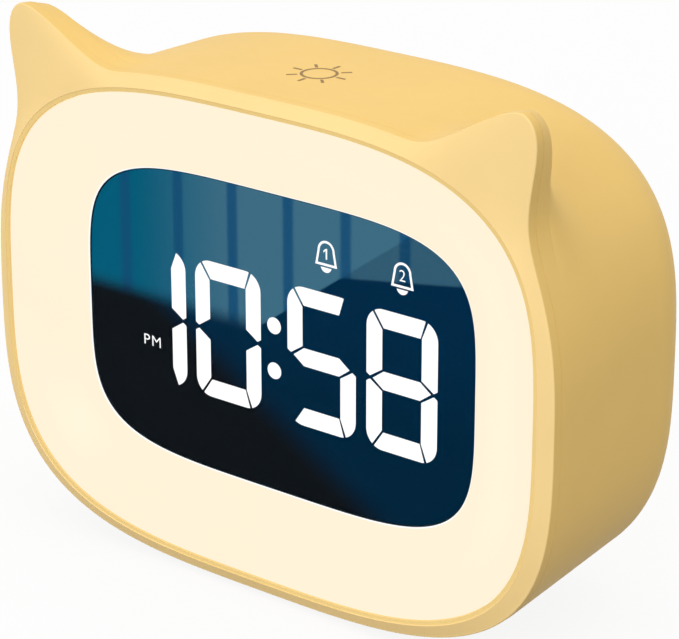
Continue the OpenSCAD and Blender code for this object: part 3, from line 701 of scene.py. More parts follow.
# Metres within which two places count as one.
TINY = 1e-6
# Millimetres that the choice of a face allows beside its place.
HAIR = 0.01
# Cosine above which a face looks along an axis.
FACING = 0.9
# Millimetres that a cutter runs past what it cuts.
OVERRUN = 0.5
# Degrees past which an edge is rounded, and up to which it is shaded smooth.
SHARP_ANGLE = 35
SMOOTH_ANGLE = 32
# Turn that points a primitive's own Z axis to the front.
TO_FRONT = (math.pi / 2, 0, 0)


def deselect() -> None:
    """Leaves edit mode and deselects every object."""
    if bpy.context.object is not None and bpy.context.object.mode != "OBJECT":
        bpy.ops.object.mode_set(mode="OBJECT")
    bpy.ops.object.select_all(action="DESELECT")


def hold(*pieces: bpy.types.Object) -> None:
    """Selects only these objects and makes the first one active."""
    deselect()
    for piece in pieces:
        piece.select_set(True)
    bpy.context.view_layer.objects.active = pieces[0]


@contextmanager
def editing(piece: bpy.types.Object) -> Iterator[None]:
    """Opens a piece in edit mode for the length of a with block."""
    hold(piece)
    bpy.ops.object.mode_set(mode="EDIT")
    yield
    bpy.ops.object.mode_set(mode="OBJECT")


def select_faces(piece: bpy.types.Object, wanted: Callable[[Vector, Vector], bool]) -> int:
    """Selects faces in edit mode by their place and normal.

    Args:
        piece: A piece that is open in edit mode.
        wanted: Takes a face's centre and normal and says whether it is selected.

    Returns:
        The number of faces selected.
    """
    bpy.ops.mesh.select_mode(type="FACE")
    bpy.ops.mesh.select_all(action="DESELECT")
    mesh = bmesh.from_edit_mesh(piece.data)
    mesh.normal_update()
    chosen = [face for face in mesh.faces if wanted(face.calc_center_median(), face.normal)]
    for face in chosen:
        face.select_set(True)
    bmesh.update_edit_mesh(piece.data)
    return len(chosen)


def select_edges(piece: bpy.types.Object, wanted: Callable[[Vector, Vector], bool]) -> None:
    """Selects edges in edit mode by the places of their ends.

    Args:
        piece: A piece that is open in edit mode.
        wanted: Takes an edge's two ends and says whether it is selected.
    """
    bpy.ops.mesh.select_mode(type="EDGE")
    bpy.ops.mesh.select_all(action="DESELECT")
    for edge in bmesh.from_edit_mesh(piece.data).edges:
        first, second = edge.verts
        edge.select_set(wanted(first.co, second.co))
    bmesh.update_edit_mesh(piece.data)


def settle(piece: bpy.types.Object) -> bpy.types.Object:
    """Moves a piece's place, turn and scale into its mesh."""
    hold(piece)
    bpy.ops.object.transform_apply(location=True, rotation=True, scale=True)
    return piece


def added(name: str, scale: Axes = (1, 1, 1)) -> bpy.types.Object:
    """Names and scales the primitive that was just added, and settles it."""
    made = bpy.context.object
    made.name = name
    made.scale = scale
    return settle(made)


def modify(piece: bpy.types.Object, kind: str, **settings: object) -> bpy.types.Object:
    """Adds a modifier to a piece and applies it.

    Args:
        piece: The piece.
        kind: Blender's type of modifier.
        settings: The modifier's own settings.

    Returns:
        The piece.
    """
    hold(piece)
    modifier = piece.modifiers.new(kind.lower(), kind)
    for name, setting in settings.items():
        setattr(modifier, name, setting)
    bpy.ops.object.modifier_apply(modifier=modifier.name)
    return piece


def round_edges(piece: bpy.types.Object, width: float) -> bpy.types.Object:
    """Rounds every sharp edge of a piece by a width in millimetres."""
    return modify(piece, "BEVEL", width=width * MM, segments=3, limit_method="ANGLE",
                  angle_limit=math.radians(SHARP_ANGLE), use_clamp_overlap=True)


def join(name: str, pieces: Sequence[bpy.types.Object]) -> bpy.types.Object:
    """Joins pieces into one object with that name."""
    hold(*pieces)
    if len(pieces) > 1:
        bpy.ops.object.join()
    pieces[0].name = name
    return pieces[0]


def carve(piece: bpy.types.Object, tools: Sequence[bpy.types.Object], how: str = "DIFFERENCE") -> None:
    """Cuts tools out of a piece, or adds them to it, and throws the tools away.

    Args:
        piece: The piece.
        tools: Closed shapes that don't overlap each other.
        how: Blender's name of the Boolean operation.
    """
    tool = join("tool", tools)
    modify(piece, "BOOLEAN", operation=how, object=tool, solver="EXACT")
    bpy.data.objects.remove(tool)


@dataclass(frozen=True)
class Datum:
    """The two planes that every size is counted from, in metres.

    Attributes:
        front: Place along Y of the bezel's outer edge.
        middle: Height of the body's middle.
    """

    front: float
    middle: float

    def point(self, x: float, z: float, depth: float) -> Vector:
        """Turns a place on the clock, in millimetres, into metres in the shared frame."""
        return Vector((x * MM, self.front + depth * MM, self.middle + z * MM))

    def place(self, point: Vector) -> tuple[float, float, float]:
        """Turns a point of the shared frame into its x, z and depth, in millimetres."""
        return point.x / MM, (point.z - self.middle) / MM, self.depth(point.y)

    def depth(self, y: float) -> float:
        """Returns the depth, in millimetres, of a place along Y."""
        return (y - self.front) / MM

    def centre(self, node: str) -> Place:
        """Returns the front-view middle of a node, in millimetres."""
        low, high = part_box(node)
        return (low.x + high.x) / 2 / MM, ((low.z + high.z) / 2 - self.middle) / MM

    def span(self, node: str) -> tuple[float, float]:
        """Returns the depths at which a node starts and ends."""
        low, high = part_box(node)
        return self.depth(low.y), self.depth(high.y)


BEZEL_RIM_RISE = 1.2
DATUM = Datum(
    front=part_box("front_bezel")[0].y + BEZEL_RIM_RISE * MM,
    middle=(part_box("night_light_diffuser")[0].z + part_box("night_light_diffuser")[1].z) / 2,
)


def rod(name: str, at: Place, radius: float, start: float, end: float,
        sides: int = 64) -> bpy.types.Object:
    """Adds a cylinder along the clock's depth.

    Args:
        name: Name of the object.
        at: Its x and z.
        radius: Its radius.
        start: Depth of its front end.
        end: Depth of its rear end.
        sides: Number of sides.

    Returns:
        The cylinder, open for more work.
    """
    deselect()
    bpy.ops.mesh.primitive_cylinder_add(
        vertices=sides, radius=radius * MM, depth=(end - start) * MM,
        location=DATUM.point(*at, (start + end) / 2), rotation=TO_FRONT)
    return added(name)


def block(name: str, at: Place, size: tuple[float, float], start: float,
          end: float) -> bpy.types.Object:
    """Adds a box along the clock's depth.

    Args:
        name: Name of the object.
        at: Its x and z.
        size: Its width and height.
        start: Depth of its front face.
        end: Depth of its rear face.

    Returns:
        The box, open for more work.
    """
    deselect()
    bpy.ops.mesh.primitive_cube_add(size=1, location=DATUM.point(*at, (start + end) / 2))
    return added(name, (size[0] * MM, (end - start) * MM, size[1] * MM))


# ---------------------------------------------------------------- outlines


@dataclass(frozen=True)
class Oval:
    """A rounded-square outline seen from the front, in millimetres.

    Attributes:
        width: Whole width.
        height: Whole height.
        square: 2 gives an ellipse, and more gives squarer corners.
    """

    width: float
    height: float
    square: float

    def reach(self, angle: float, grow: float = 0.0) -> float:
        """Returns the distance from the middle to the outline, grown all round, in a direction."""
        across = abs(math.cos(angle)) / (self.width / 2 + grow)
        up = abs(math.sin(angle)) / (self.height / 2 + grow)
        return (across ** self.square + up ** self.square) ** (-1 / self.square)

    def grown(self, grow: float) -> Reach:
        """Returns the reach of the outline, grown all round."""
        return lambda angle: self.reach(angle, grow)

    def beyond(self, x: float, z: float, grow: float = 0.0) -> float:
        """Returns how far a place lies outside the outline, grown all round."""
        return math.hypot(x, z) - self.reach(math.atan2(z, x), grow)


@dataclass(frozen=True)
class Body:
    """The clock's outer form: a drafted oval with two ears and a rounded rear.

    Attributes:
        outline: Outline at the front.
        rear_square: Squareness of the outline at the rear.
        depth: Depth of the rear wall's outer face.
        side_draft: Narrowing of each side towards the rear.
        under_draft: Rise of the underside towards the rear.
        round_long: Length of the rear rounding.
        round_inset: How far the rear rounding draws the outline in.
        ear_rise: Height of an ear above the outline.
        ear_angle: Direction of an ear's tip, in degrees above the horizontal.
        outer_spread: Spread of an ear's outer flank, in degrees.
        inner_spread: Spread of an ear's inner flank, in degrees.
        ear_thick: Thickness of an ear.
        ear_taper: Share of its rise that an ear loses towards its back.
        ear_fillet: Length of the fillet behind an ear.
        fillet_power: How fast the fillet falls.
        ear_foot: How much the flanks spread while the fillet runs out.
        waist: How far each side is drawn in below its ear, at the front.
        waist_angle: Direction of that waist, in degrees above the horizontal.
        waist_spread: Spread of that waist, in degrees.
        seam: Depth of the seam between the bezel and the housing.
        coarse_step: Step between the points of a ring, in degrees.
        fine_step: Step round the ears, in degrees.
        fine_reach: How far the fine steps reach to each side of an ear's tip, in degrees.
    """

    outline: Oval = Oval(129.46, 96, 3.34)
    rear_square: float = 3.2
    depth: float = 47.5
    side_draft: float = 1
    under_draft: float = 1.75
    round_long: float = 12.5
    round_inset: float = 10
    ear_rise: float = 17.28
    ear_angle: float = 44.1
    outer_spread: float = 6.25
    inner_spread: float = 3.35
    ear_thick: float = 6
    ear_taper: float = 0.1
    ear_fillet: float = 14
    fillet_power: float = 2.6
    ear_foot: float = 0.45
    waist: float = 1
    waist_angle: float = 23
    waist_spread: float = 8
    seam: float = 2.3
    coarse_step: float = 1.5
    fine_step: float = 0.5
    fine_reach: float = 15

    @property
    def round_at(self) -> float:
        """Depth at which the rear rounding starts."""
        return self.depth - self.round_long

    def ear_share(self, depth: float) -> float:
        """Returns the share of the ears that is left at a depth."""
        if depth <= self.ear_thick:
            return 1 - self.ear_taper * (depth / self.ear_thick) ** 2
        run = min(1.0, (depth - self.ear_thick) / self.ear_fillet)
        return (1 - self.ear_taper) * (1 - run) ** self.fillet_power

    def ear(self, angle: float, share: float) -> float:
        """Returns how far the ears stand above the outline in a direction.

        Args:
            angle: Direction, in radians.
            share: Share of the ears that is left at this depth.

        Returns:
            The height, in millimetres.
        """
        off = self._steepness(angle) - self.ear_angle
        spread = self.outer_spread if off < 0 else self.inner_spread
        return share * self.ear_rise * self._bell(off, spread * (1 + self.ear_foot * (1 - share)))

    def dent(self, angle: float) -> float:
        """Returns how far the outline is drawn in at the waist in a direction."""
        return self.waist * self._bell(self._steepness(angle) - self.waist_angle, self.waist_spread)

    @staticmethod
    def _steepness(angle: float) -> float:
        """Returns the degrees between a direction and the horizontal, or -90 below it."""
        degrees = math.degrees(angle) % 360
        return min(degrees, 180 - degrees) if degrees < 180 else -90

    @staticmethod
    def _bell(off: float, spread: float) -> float:
        """Returns the height of a bell curve at a distance from its top."""
        return math.exp(-((off / spread) ** 2) / 2)

    def ring(self, depth: float, inset: float = 0.0, ears: float = 0.0) -> Reach:
        """Describes the outline at a depth.

        Args:
            depth: Depth behind the bezel's outer edge.
            inset: How far the ring is drawn in.
            ears: 1 for a ring with ears, 0 for one without them.

        Returns:
            The ring's reach.
        """
        share = min(1.0, max(0.0, (depth - self.seam) / (self.round_at - self.seam)))
        width = self.outline.width - 2 * self.side_draft * share
        height = self.outline.height
        square = self.outline.square + (self.rear_square - self.outline.square) * share
        upper = Oval(width, height, square)
        lower = Oval(width, height - 2 * self.under_draft * share, square)
        left = self.ear_share(depth)

        def reach(angle: float) -> float:
            """Returns the distance from the middle to the ring in a direction."""
            half = upper if math.sin(angle) >= 0 else lower
            waist = (1 - share) * self.dent(angle)
            return half.reach(angle, -inset) + ears * self.ear(angle, left) - waist

        return reach

    def spokes(self, ears: bool = True) -> list[float]:
        """Returns the directions in which rings have points.

        Args:
            ears: Whether the points stand closer together round the ears.

        Returns:
            The directions, in radians, all the way round.
        """
        tips = (self.ear_angle, 180 - self.ear_angle) if ears else ()
        angles, angle = [], 0.0
        while angle < 360 - self.coarse_step / 2:
            angles.append(math.radians(angle))
            near_ear = any(abs(angle - tip) < self.fine_reach for tip in tips)
            angle += self.fine_step if near_ear else self.coarse_step
        return angles


BODY = Body()
PANEL_OVAL = Oval(122, 89.4, 3.33)
WINDOW_OVAL = Oval(90.4, 57.8, 4.25)
# Clearance between two pieces that fit into each other.
FIT = 0.1
# Thickness of the housing's wall, and rounding at its seam with the bezel.
WALL = 2.2
SEAM_ROUND = 0.12


def between(first: Reach, second: Reach, share: float) -> Reach:
    """Returns the reach that lies part of the way from one outline to another."""
    return lambda angle: (1 - share) * first(angle) + share * second(angle)


class Tube:
    """A shape that is extruded ring by ring along the clock's depth."""

    def __init__(self, name: str, spokes: Sequence[float]) -> None:
        """Starts with a circle of one vertex for each spoke.

        Args:
            name: Name of the piece.
            spokes: Directions of the vertices, in radians.
        """
        deselect()
        bpy.ops.mesh.primitive_circle_add(vertices=len(spokes))
        self.piece = bpy.context.object
        self.piece.name = name
        self.spokes = spokes
        self.first: tuple[float, Reach] | None = None
        bpy.ops.object.mode_set(mode="EDIT")
        bpy.ops.mesh.select_mode(type="VERT")
        bpy.ops.mesh.select_all(action="SELECT")
        mesh = bmesh.from_edit_mesh(self.piece.data)
        layer = mesh.verts.layers.int.new("spoke")
        for index, vertex in enumerate(mesh.verts):
            vertex[layer] = index

    def ring(self, depth: float, reach: Reach) -> None:
        """Extrudes the last ring to a new one.

        Args:
            depth: Depth of the new ring.
            reach: Its outline.
        """
        if self.first is None:
            self.first = (depth, reach)
        else:
            bpy.ops.mesh.extrude_region()
        mesh = bmesh.from_edit_mesh(self.piece.data)
        layer = mesh.verts.layers.int["spoke"]
        for vertex in mesh.verts:
            if vertex.select:
                angle = self.spokes[vertex[layer]]
                far = reach(angle)
                vertex.co = DATUM.point(far * math.cos(angle), far * math.sin(angle), depth)
        bmesh.update_edit_mesh(self.piece.data)

    def close(self) -> bpy.types.Object:
        """Joins the last ring to the first one, as in a frame.

        Returns:
            The piece.
        """
        self.ring(*self.first)
        bpy.ops.mesh.select_all(action="SELECT")
        bpy.ops.mesh.remove_doubles(threshold=TINY)
        return self._finish()

    def cap(self) -> bpy.types.Object:
        """Closes both ends with flat faces, as in a cup.

        Returns:
            The piece.
        """
        bpy.ops.mesh.select_all(action="SELECT")
        bpy.ops.mesh.fill_holes(sides=0)
        return self._finish()

    def _finish(self) -> bpy.types.Object:
        """Turns all faces outwards and leaves edit mode."""
        bpy.ops.mesh.select_all(action="SELECT")
        bpy.ops.mesh.normals_make_consistent(inside=False)
        bpy.ops.object.mode_set(mode="OBJECT")
        return self.piece


def arc(start: float, end: float, steps: int) -> list[tuple[float, float]]:
    """Returns the cosine and sine of steps + 1 angles from start to end, in degrees."""
    turns = [math.radians(start + (end - start) * step / steps) for step in range(steps + 1)]
    return [(math.cos(turn), math.sin(turn)) for turn in turns]


# ---------------------------------------------------------------- dressing


def smooth(piece: bpy.types.Object) -> bpy.types.Object:
    """Shades a piece smooth across its blunt edges, with its large faces kept flat."""
    hold(piece)
    bpy.ops.object.shade_smooth_by_angle(angle=math.radians(SMOOTH_ANGLE), keep_sharp_edges=True)
    return modify(piece, "WEIGHTED_NORMAL", keep_sharp=True, weight=50)


def dress(piece: bpy.types.Object, finish: Finish) -> bpy.types.Object:
    """Gives a piece a single finish."""
    piece.data.materials.clear()
    piece.data.materials.append(finish.material())
    return piece


def paint_faces(piece: bpy.types.Object, finish: Finish, wanted: Callable[[Vector], bool]) -> None:
    """Gives some faces of a piece a second finish.

    Args:
        piece: A piece that has its first finish.
        finish: The second finish.
        wanted: Takes a face's centre and says whether the face gets it.
    """
    piece.data.materials.append(finish.material())
    with editing(piece):
        count = select_faces(piece, lambda centre, normal: wanted(centre))
        piece.active_material_index = len(piece.data.materials) - 1
        bpy.ops.object.material_slot_assign()
    log.info("%s: %d faces in %s", piece.name, count, finish.name)


def fit(piece: bpy.types.Object, finish: Finish, body: str = "housing",
        nodes: Sequence[str] = ()) -> bpy.types.Object:
    """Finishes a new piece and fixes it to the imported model.

    Args:
        piece: The piece, in place.
        finish: Its finish. A piece that already has materials keeps them.
        body: Body that it rides on.
        nodes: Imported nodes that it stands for.

    Returns:
        The piece.
    """
    if not piece.data.materials:
        dress(piece, finish)
    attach(piece, body)
    if nodes:
        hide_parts(*nodes)
    log.info("%s: %d faces on %s", piece.name, len(piece.data.polygons), body)
    return piece


# ---------------------------------------------------------------- front


@dataclass(frozen=True)
class Bezel:
    """The yellow front ring with the two ears.

    Attributes:
        edge: Rounding of the outer edge.
        land: Width of the sunk land at the inner rim.
        step: How far that land lies behind the face.
        land_break: Where the land turns up to the face, as shares of its width and of its step.
        face_rings: Number of rings from the rim to the outer edge.
        tongue: How far the tongue lies inside the outline.
        tongue_end: Depth at which the tongue ends.
        rim_margin: What the painted shade of the land allows beside it.
        side_from: Share of the edge's rounding behind which the housing's colour starts.
        side_clear: How far that colour stays outside the panel.
    """

    edge: float = 0.3
    land: float = 0.8
    step: float = 0.16
    land_break: tuple[float, float] = (0.85, 0.8)
    face_rings: int = 8
    tongue: float = 1.3
    tongue_end: float = 5.3
    rim_margin: float = 0.05
    side_from: float = 0.6
    side_clear: float = 1

    def build(self) -> bpy.types.Object:
        """Models the ring from its rim outwards and back along the tongue."""
        opening = PANEL_OVAL.grown(FIT)
        rim = PANEL_OVAL.grown(FIT + self.land)
        edge_ring = BODY.ring(0, self.edge, 1)
        across, drop = self.land_break
        tube = Tube("bezel_ring", BODY.spokes())
        tube.ring(BODY.seam, opening)
        tube.ring(self.step - BEZEL_RIM_RISE, opening)
        tube.ring(self.step * drop - BEZEL_RIM_RISE, between(opening, rim, across))
        tube.ring(-BEZEL_RIM_RISE, rim)
        for step in range(1, self.face_rings + 1):
            share = step / self.face_rings
            tube.ring(-BEZEL_RIM_RISE * (1 - share), between(rim, edge_ring, share))
        for cos, sin in arc(90, 0, 4)[1:]:
            tube.ring(self.edge * (1 - sin), BODY.ring(0, self.edge * (1 - cos), 1))
        for cos, sin in arc(0, 90, 2):
            inset = SEAM_ROUND * (1 - cos)
            depth = BODY.seam - SEAM_ROUND * (1 - sin)
            tube.ring(depth, BODY.ring(depth, inset, 1))
        tube.ring(BODY.seam, BODY.ring(BODY.seam, self.tongue))
        tube.ring(self.tongue_end, BODY.ring(self.tongue_end, self.tongue))
        tube.ring(self.tongue_end, BODY.ring(self.tongue_end, WALL))
        tube.ring(BODY.seam, BODY.ring(BODY.seam, WALL))
        piece = dress(tube.close(), BEZEL)
        # The land of the inner rim gets a darker yellow: painted shade.
        paint_faces(piece, RIM_PAINTED_SHADE, self._at_rim_painted_shade)
        paint_faces(piece, SHELL, self._at_side)
        return fit(smooth(piece), BEZEL, nodes=["front_bezel"])

    def _at_rim_painted_shade(self, centre: Vector) -> bool:
        """Says whether a face lies on the land of the inner rim, which gets painted shade."""
        x, z, depth = DATUM.place(centre)
        far = PANEL_OVAL.beyond(x, z, FIT)
        in_front = depth < self.step - BEZEL_RIM_RISE + self.rim_margin
        return -self.rim_margin < far < self.land and in_front

    def _at_side(self, centre: Vector) -> bool:
        """Says whether a face lies on the outer side, where the bezel runs on into the housing."""
        x, z, depth = DATUM.place(centre)
        return depth > self.edge * self.side_from and PANEL_OVAL.beyond(x, z, self.side_clear) > 0


@dataclass(frozen=True)
class NightPanel:
    """The glowing cream panel, dished from the bezel to the window.

    Attributes:
        rise: How far its outer edge stands in front of the bezel's outer edge.
        window_at: Depth of the window's edge.
        thick: Thickness.
        edge: Rounding of the outer edge.
        window_edge: Rounding of the edge round the window.
        window_paint: Share of that rounding that glows white.
        flange_front: Depth of the flange's front face.
        flange_back: Depth of the flange's rear face.
        skirt: Width of the wall behind the outer edge.
        seat: Width of the seat for the lens.
        face_rings: Number of steps from the outer edge to the window.
        back_rings: Number of rings across the back.
        back_span: Shares of the way to the window at which they start and how far they reach.
    """

    rise: float = 0.9
    window_at: float = 4.4
    thick: float = 1.7
    edge: float = 0.3
    window_edge: float = 0.2
    window_paint: float = 0.99
    flange_front: float = 2.4
    flange_back: float = 3.5
    skirt: float = 1.8
    seat: float = 2.3
    face_rings: int = 20
    back_rings: int = 8
    back_span: tuple[float, float] = (0.12, 0.7)

    def dish(self, share: float) -> float:
        """Returns the panel's depth between its outer edge (0) and the window (1)."""
        return -self.rise + (self.window_at + self.rise) * (3 - 2 * share) * share * share

    def build(self) -> bpy.types.Object:
        """Models the panel's face from the outer edge inwards, and then its back."""
        outer = PANEL_OVAL.grown(0)
        inner = WINDOW_OVAL.grown(0)
        face_outer = PANEL_OVAL.grown(-self.edge)
        face_inner = WINDOW_OVAL.grown(self.window_edge)
        flange = BODY.ring(BODY.seam, WALL + FIT)
        tube = Tube("night_panel", BODY.spokes(ears=False))
        tube.ring(self.flange_front, flange)
        tube.ring(self.flange_front, outer)
        for cos, sin in arc(0, 90, 3):
            tube.ring(-self.rise + self.edge * (1 - sin), PANEL_OVAL.grown(-self.edge * (1 - cos)))
        for step in range(1, self.face_rings):
            share = step / self.face_rings
            tube.ring(self.dish(share), between(face_outer, face_inner, share))
        for cos, sin in arc(90, 0, 3):
            depth = self.window_at + self.window_edge * (1 - sin)
            tube.ring(depth, WINDOW_OVAL.grown(self.window_edge * (1 - cos)))
        back = self.window_at + self.thick
        tube.ring(back, inner)
        tube.ring(back, WINDOW_OVAL.grown(self.seat))
        start, span = self.back_span
        for step in range(self.back_rings, 0, -1):
            share = start + span * step / (self.back_rings + 1)
            tube.ring(min(self.dish(share) + self.thick, back), between(outer, inner, share))
        tube.ring(self.flange_back, PANEL_OVAL.grown(-self.skirt))
        tube.ring(self.flange_back, flange)
        piece = dress(tube.close(), PANEL)
        paint_faces(piece, PANEL_EDGE, self._at_window)
        # The wall beside the lens is painted near black: painted shade of the gap round the lens.
        paint_faces(piece, GAP_PAINTED_SHADE, self._at_gap_shade_wall)
        return fit(smooth(piece), PANEL, nodes=["night_light_diffuser"])

    def _at_window(self, centre: Vector) -> bool:
        """Says whether a face lies on the window's rounded edge."""
        x, z, depth = DATUM.place(centre)
        near = WINDOW_OVAL.beyond(x, z, self.window_edge * self.window_paint) < 0
        return near and depth < self.window_at + self.window_edge

    def _at_gap_shade_wall(self, centre: Vector) -> bool:
        """Says whether a face lies on the wall beside the lens, painted near black as shade of the gap.
        """
        x, z, depth = DATUM.place(centre)
        behind = self.window_at + self.window_edge < depth < self.window_at + self.thick - HAIR
        return behind and WINDOW_OVAL.beyond(x, z, FIT) < 0


@dataclass(frozen=True)
class DisplayWindow:
    """The lens in front of the display: a clear face on a smoked body that glows with a painted
    reflection.

    Attributes:
        front: Depth of its face.
        clear: Thickness of the clear face.
        gap: Space between the clear face and the smoked body.
        figure_share: Share of that space in front of the figures.
        flange_front: Depth of its flange's front.
        back: Depth of its rear face.
        edge: Rounding of its face's edge.
        flange: Width of the flange.
        border: Width of the band round the smoked body's front that is painted dark as shade of the
            gap.
    """

    front: float = 4.6
    clear: float = 0.15
    gap: float = 0.05
    figure_share: float = 0.4
    flange_front: float = 6.15
    back: float = 7.6
    edge: float = 0.12
    flange: float = 1.9
    border: float = 0.15

    @property
    def body_front(self) -> float:
        """Depth of the smoked body's front."""
        return self.front + self.clear + self.gap

    @property
    def figures_at(self) -> float:
        """Depth of the front of every figure and sign."""
        return self.front + self.clear + self.gap * self.figure_share

    def build(self) -> None:
        """Models the clear face and the smoked body, each closed at both ends."""
        side = WINDOW_OVAL.grown(-FIT)
        face = Tube("lens", BODY.spokes(ears=False))
        for cos, sin in arc(90, 0, 3):
            outline = WINDOW_OVAL.grown(-FIT - self.edge * (1 - cos))
            face.ring(self.front + self.edge * (1 - sin), outline)
        face.ring(self.front + self.clear, side)
        fit(smooth(face.cap()), LENS, nodes=["display_lens"])
        body = Tube("lens_body", BODY.spokes(ears=False))
        body.ring(self.body_front, WINDOW_OVAL.grown(-FIT - self.border))
        body.ring(self.body_front, side)
        body.ring(self.flange_front, side)
        body.ring(self.flange_front, WINDOW_OVAL.grown(self.flange))
        body.ring(self.back, WINDOW_OVAL.grown(self.flange))
        # The smoked body gets the display film, which glows with a painted reflection.
        smoked = dress(body.cap(), PAINTED_REFLECTION_FILM)
        # The border of the smoked body's front is painted near black: painted shade of the gap.
        paint_faces(smoked, GAP_PAINTED_SHADE, self._at_gap_shade_band)
        fit(smooth(smoked), PAINTED_REFLECTION_FILM, nodes=["display_lens"])

    def _at_gap_shade_band(self, centre: Vector) -> bool:
        """Says whether a face lies on the border of the smoked body's front, painted as shade of the
        gap.
        """
        x, z, depth = DATUM.place(centre)
        return depth < self.body_front + HAIR and WINDOW_OVAL.beyond(x, z) > -FIT - self.border


WINDOW = DisplayWindow()


def plate(name: str, at: Place, size: tuple[float, float]) -> bpy.types.Object:
    """Adds a flat rectangle at the figures' depth, facing the front.

    Args:
        name: Name of the object.
        at: Its x and z.
        size: Its width and height.

    Returns:
        The rectangle.
    """
    deselect()
    place = DATUM.point(*at, WINDOW.figures_at)
    bpy.ops.mesh.primitive_plane_add(size=1, location=place, rotation=TO_FRONT)
    return added(name, (size[0] * MM, size[1] * MM, 1))


class Segment(Enum):
    """A segment of a figure: its shape, and whether that shape is turned upside down."""

    TOP = ("bar", False)
    UPPER_LEFT = ("left", False)
    UPPER_RIGHT = ("right", False)
    MIDDLE = ("middle", False)
    LOWER_LEFT = ("left", True)
    LOWER_RIGHT = ("right", True)
    BOTTOM = ("bar", True)


FIGURES: dict[str, tuple[Segment, ...]] = {
    "0": tuple(segment for segment in Segment if segment is not Segment.MIDDLE),
    "1": (Segment.UPPER_RIGHT, Segment.LOWER_RIGHT),
    "5": (Segment.TOP, Segment.UPPER_LEFT, Segment.MIDDLE, Segment.LOWER_RIGHT, Segment.BOTTOM),
    "8": tuple(Segment),
}


@dataclass(frozen=True)
class Digits:
    """The lit segments of the four figures, and the colon.

    Attributes:
        reading: What the figures show.
        width: Width of a figure.
        gap: Distance between two figures of a pair.
        inner: Distance of the two inner figures from the middle.
        stroke: Width of a segment.
        slit: Width of the dark slit between two segments.
        corner: Rounding of a figure's corners.
        left_cut: Distance of a bar's end from the left.
        right_cut: Distance of a bar's end from the right.
        tip: Cut of a segment's point at mid-height.
    """

    reading: str = "1058"
    width: float = 15.7
    gap: float = 2.4
    inner: float = 3.15
    stroke: float = 3.5
    slit: float = 0.62
    corner: float = 3.6
    left_cut: float = 1.1
    right_cut: float = 2.4
    tip: float = 0.8

    def build(self) -> None:
        """Models each lit segment and both dots of the colon."""
        low, high = (DATUM.place(corner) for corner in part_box("lit_segments"))
        height, back = high[1] - low[1], high[2]
        parts = []
        for left, figure in zip(self._lefts(), self.reading):
            middle = (left + self.width / 2, (low[1] + high[1]) / 2)
            for segment in FIGURES[figure]:
                parts.append(self._segment(segment, middle, height))
        lit = join("lit_figures", parts)
        modify(lit, "SOLIDIFY", thickness=(back - WINDOW.figures_at) * MM, offset=-1)
        fit(lit, LIT, nodes=["lit_segments"])
        low, high = (DATUM.place(corner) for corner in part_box("colon_dots"))
        radius = (high[0] - low[0]) / 2
        dots = [rod("dot", (0, z), radius, WINDOW.figures_at, high[2])
                for z in (low[1] + radius, high[1] - radius)]
        fit(smooth(join("lit_colon", dots)), LIT, nodes=["colon_dots"])

    def _lefts(self) -> list[float]:
        """Returns the left edge of each figure."""
        outer = self.inner + self.width + self.gap
        return [-outer - self.width, -self.inner - self.width, self.inner, outer]

    def _corners(self, shape: str, height: float) -> list[Place]:
        """Returns the corners of a segment, counted from the figure's lower left corner."""
        width, stroke, tip = self.width, self.stroke, self.tip
        inner, middle = width - stroke, height / 2
        half, slit = stroke / 2, self.slit / 2
        right = [(width - self.right_cut + slit, height), (width, height), (width, middle + tip),
                 (width - tip, middle + slit), (inner, middle + half + slit), (inner, height - stroke)]
        left = [(self.left_cut - slit, height), (0, height), (0, middle + tip), (tip, middle + slit),
                (stroke, middle + half + slit), (stroke, height - stroke - slit)]
        bar = [(self.left_cut + slit, height), (width - self.right_cut - slit, height),
               (inner - slit, height - stroke), (stroke + slit, height - stroke)]
        across = [(tip + self.slit, middle), (stroke + slit, middle + half),
                  (inner - slit, middle + half), (width - tip - self.slit, middle),
                  (inner - slit, middle - half), (stroke + slit, middle - half)]
        return {"right": right, "left": left, "bar": bar, "middle": across}[shape]

    def _segment(self, segment: Segment, middle: Place, height: float) -> bpy.types.Object:
        """Models one segment flat: the figure's rounded outline, cut along the segment's sides.

        Args:
            segment: The segment.
            middle: Middle of its figure.
            height: Height of its figure.

        Returns:
            The segment, which faces the front.
        """
        shape, turned = segment.value
        corners = [(x, height - z if turned else z) for x, z in self._corners(shape, height)]
        left, base = middle[0] - self.width / 2, middle[1] - height / 2
        points = [DATUM.point(left + x, base + z, WINDOW.figures_at) for x, z in corners]
        inside = sum(points, Vector()) / len(points)
        made = plate("segment", middle, (self.width, height))
        with editing(made):
            bpy.ops.mesh.select_all(action="SELECT")
            bpy.ops.mesh.bevel(offset=self.corner * MM, segments=10, affect="VERTICES")
            for start, end in zip(points, points[1:] + points[:1]):
                outwards = (end - start).cross(Vector((0, 1, 0))).normalized()
                if outwards.dot(inside - start) > 0:
                    outwards.negate()
                bpy.ops.mesh.select_all(action="SELECT")
                bpy.ops.mesh.bisect(plane_co=start, plane_no=outwards, clear_outer=True, threshold=TINY)
        return made


class SignText(Enum):
    """The lettering of the display: its text, height, stretch in width and place."""

    AFTERNOON = ("PM", 2.07, 1.1, (-29.87, -6.59))
    FIRST = ("1", 2.0, 1.0, (12.2, 20.07))
    SECOND = ("2", 2.1, 1.0, (29.06, 19.86))


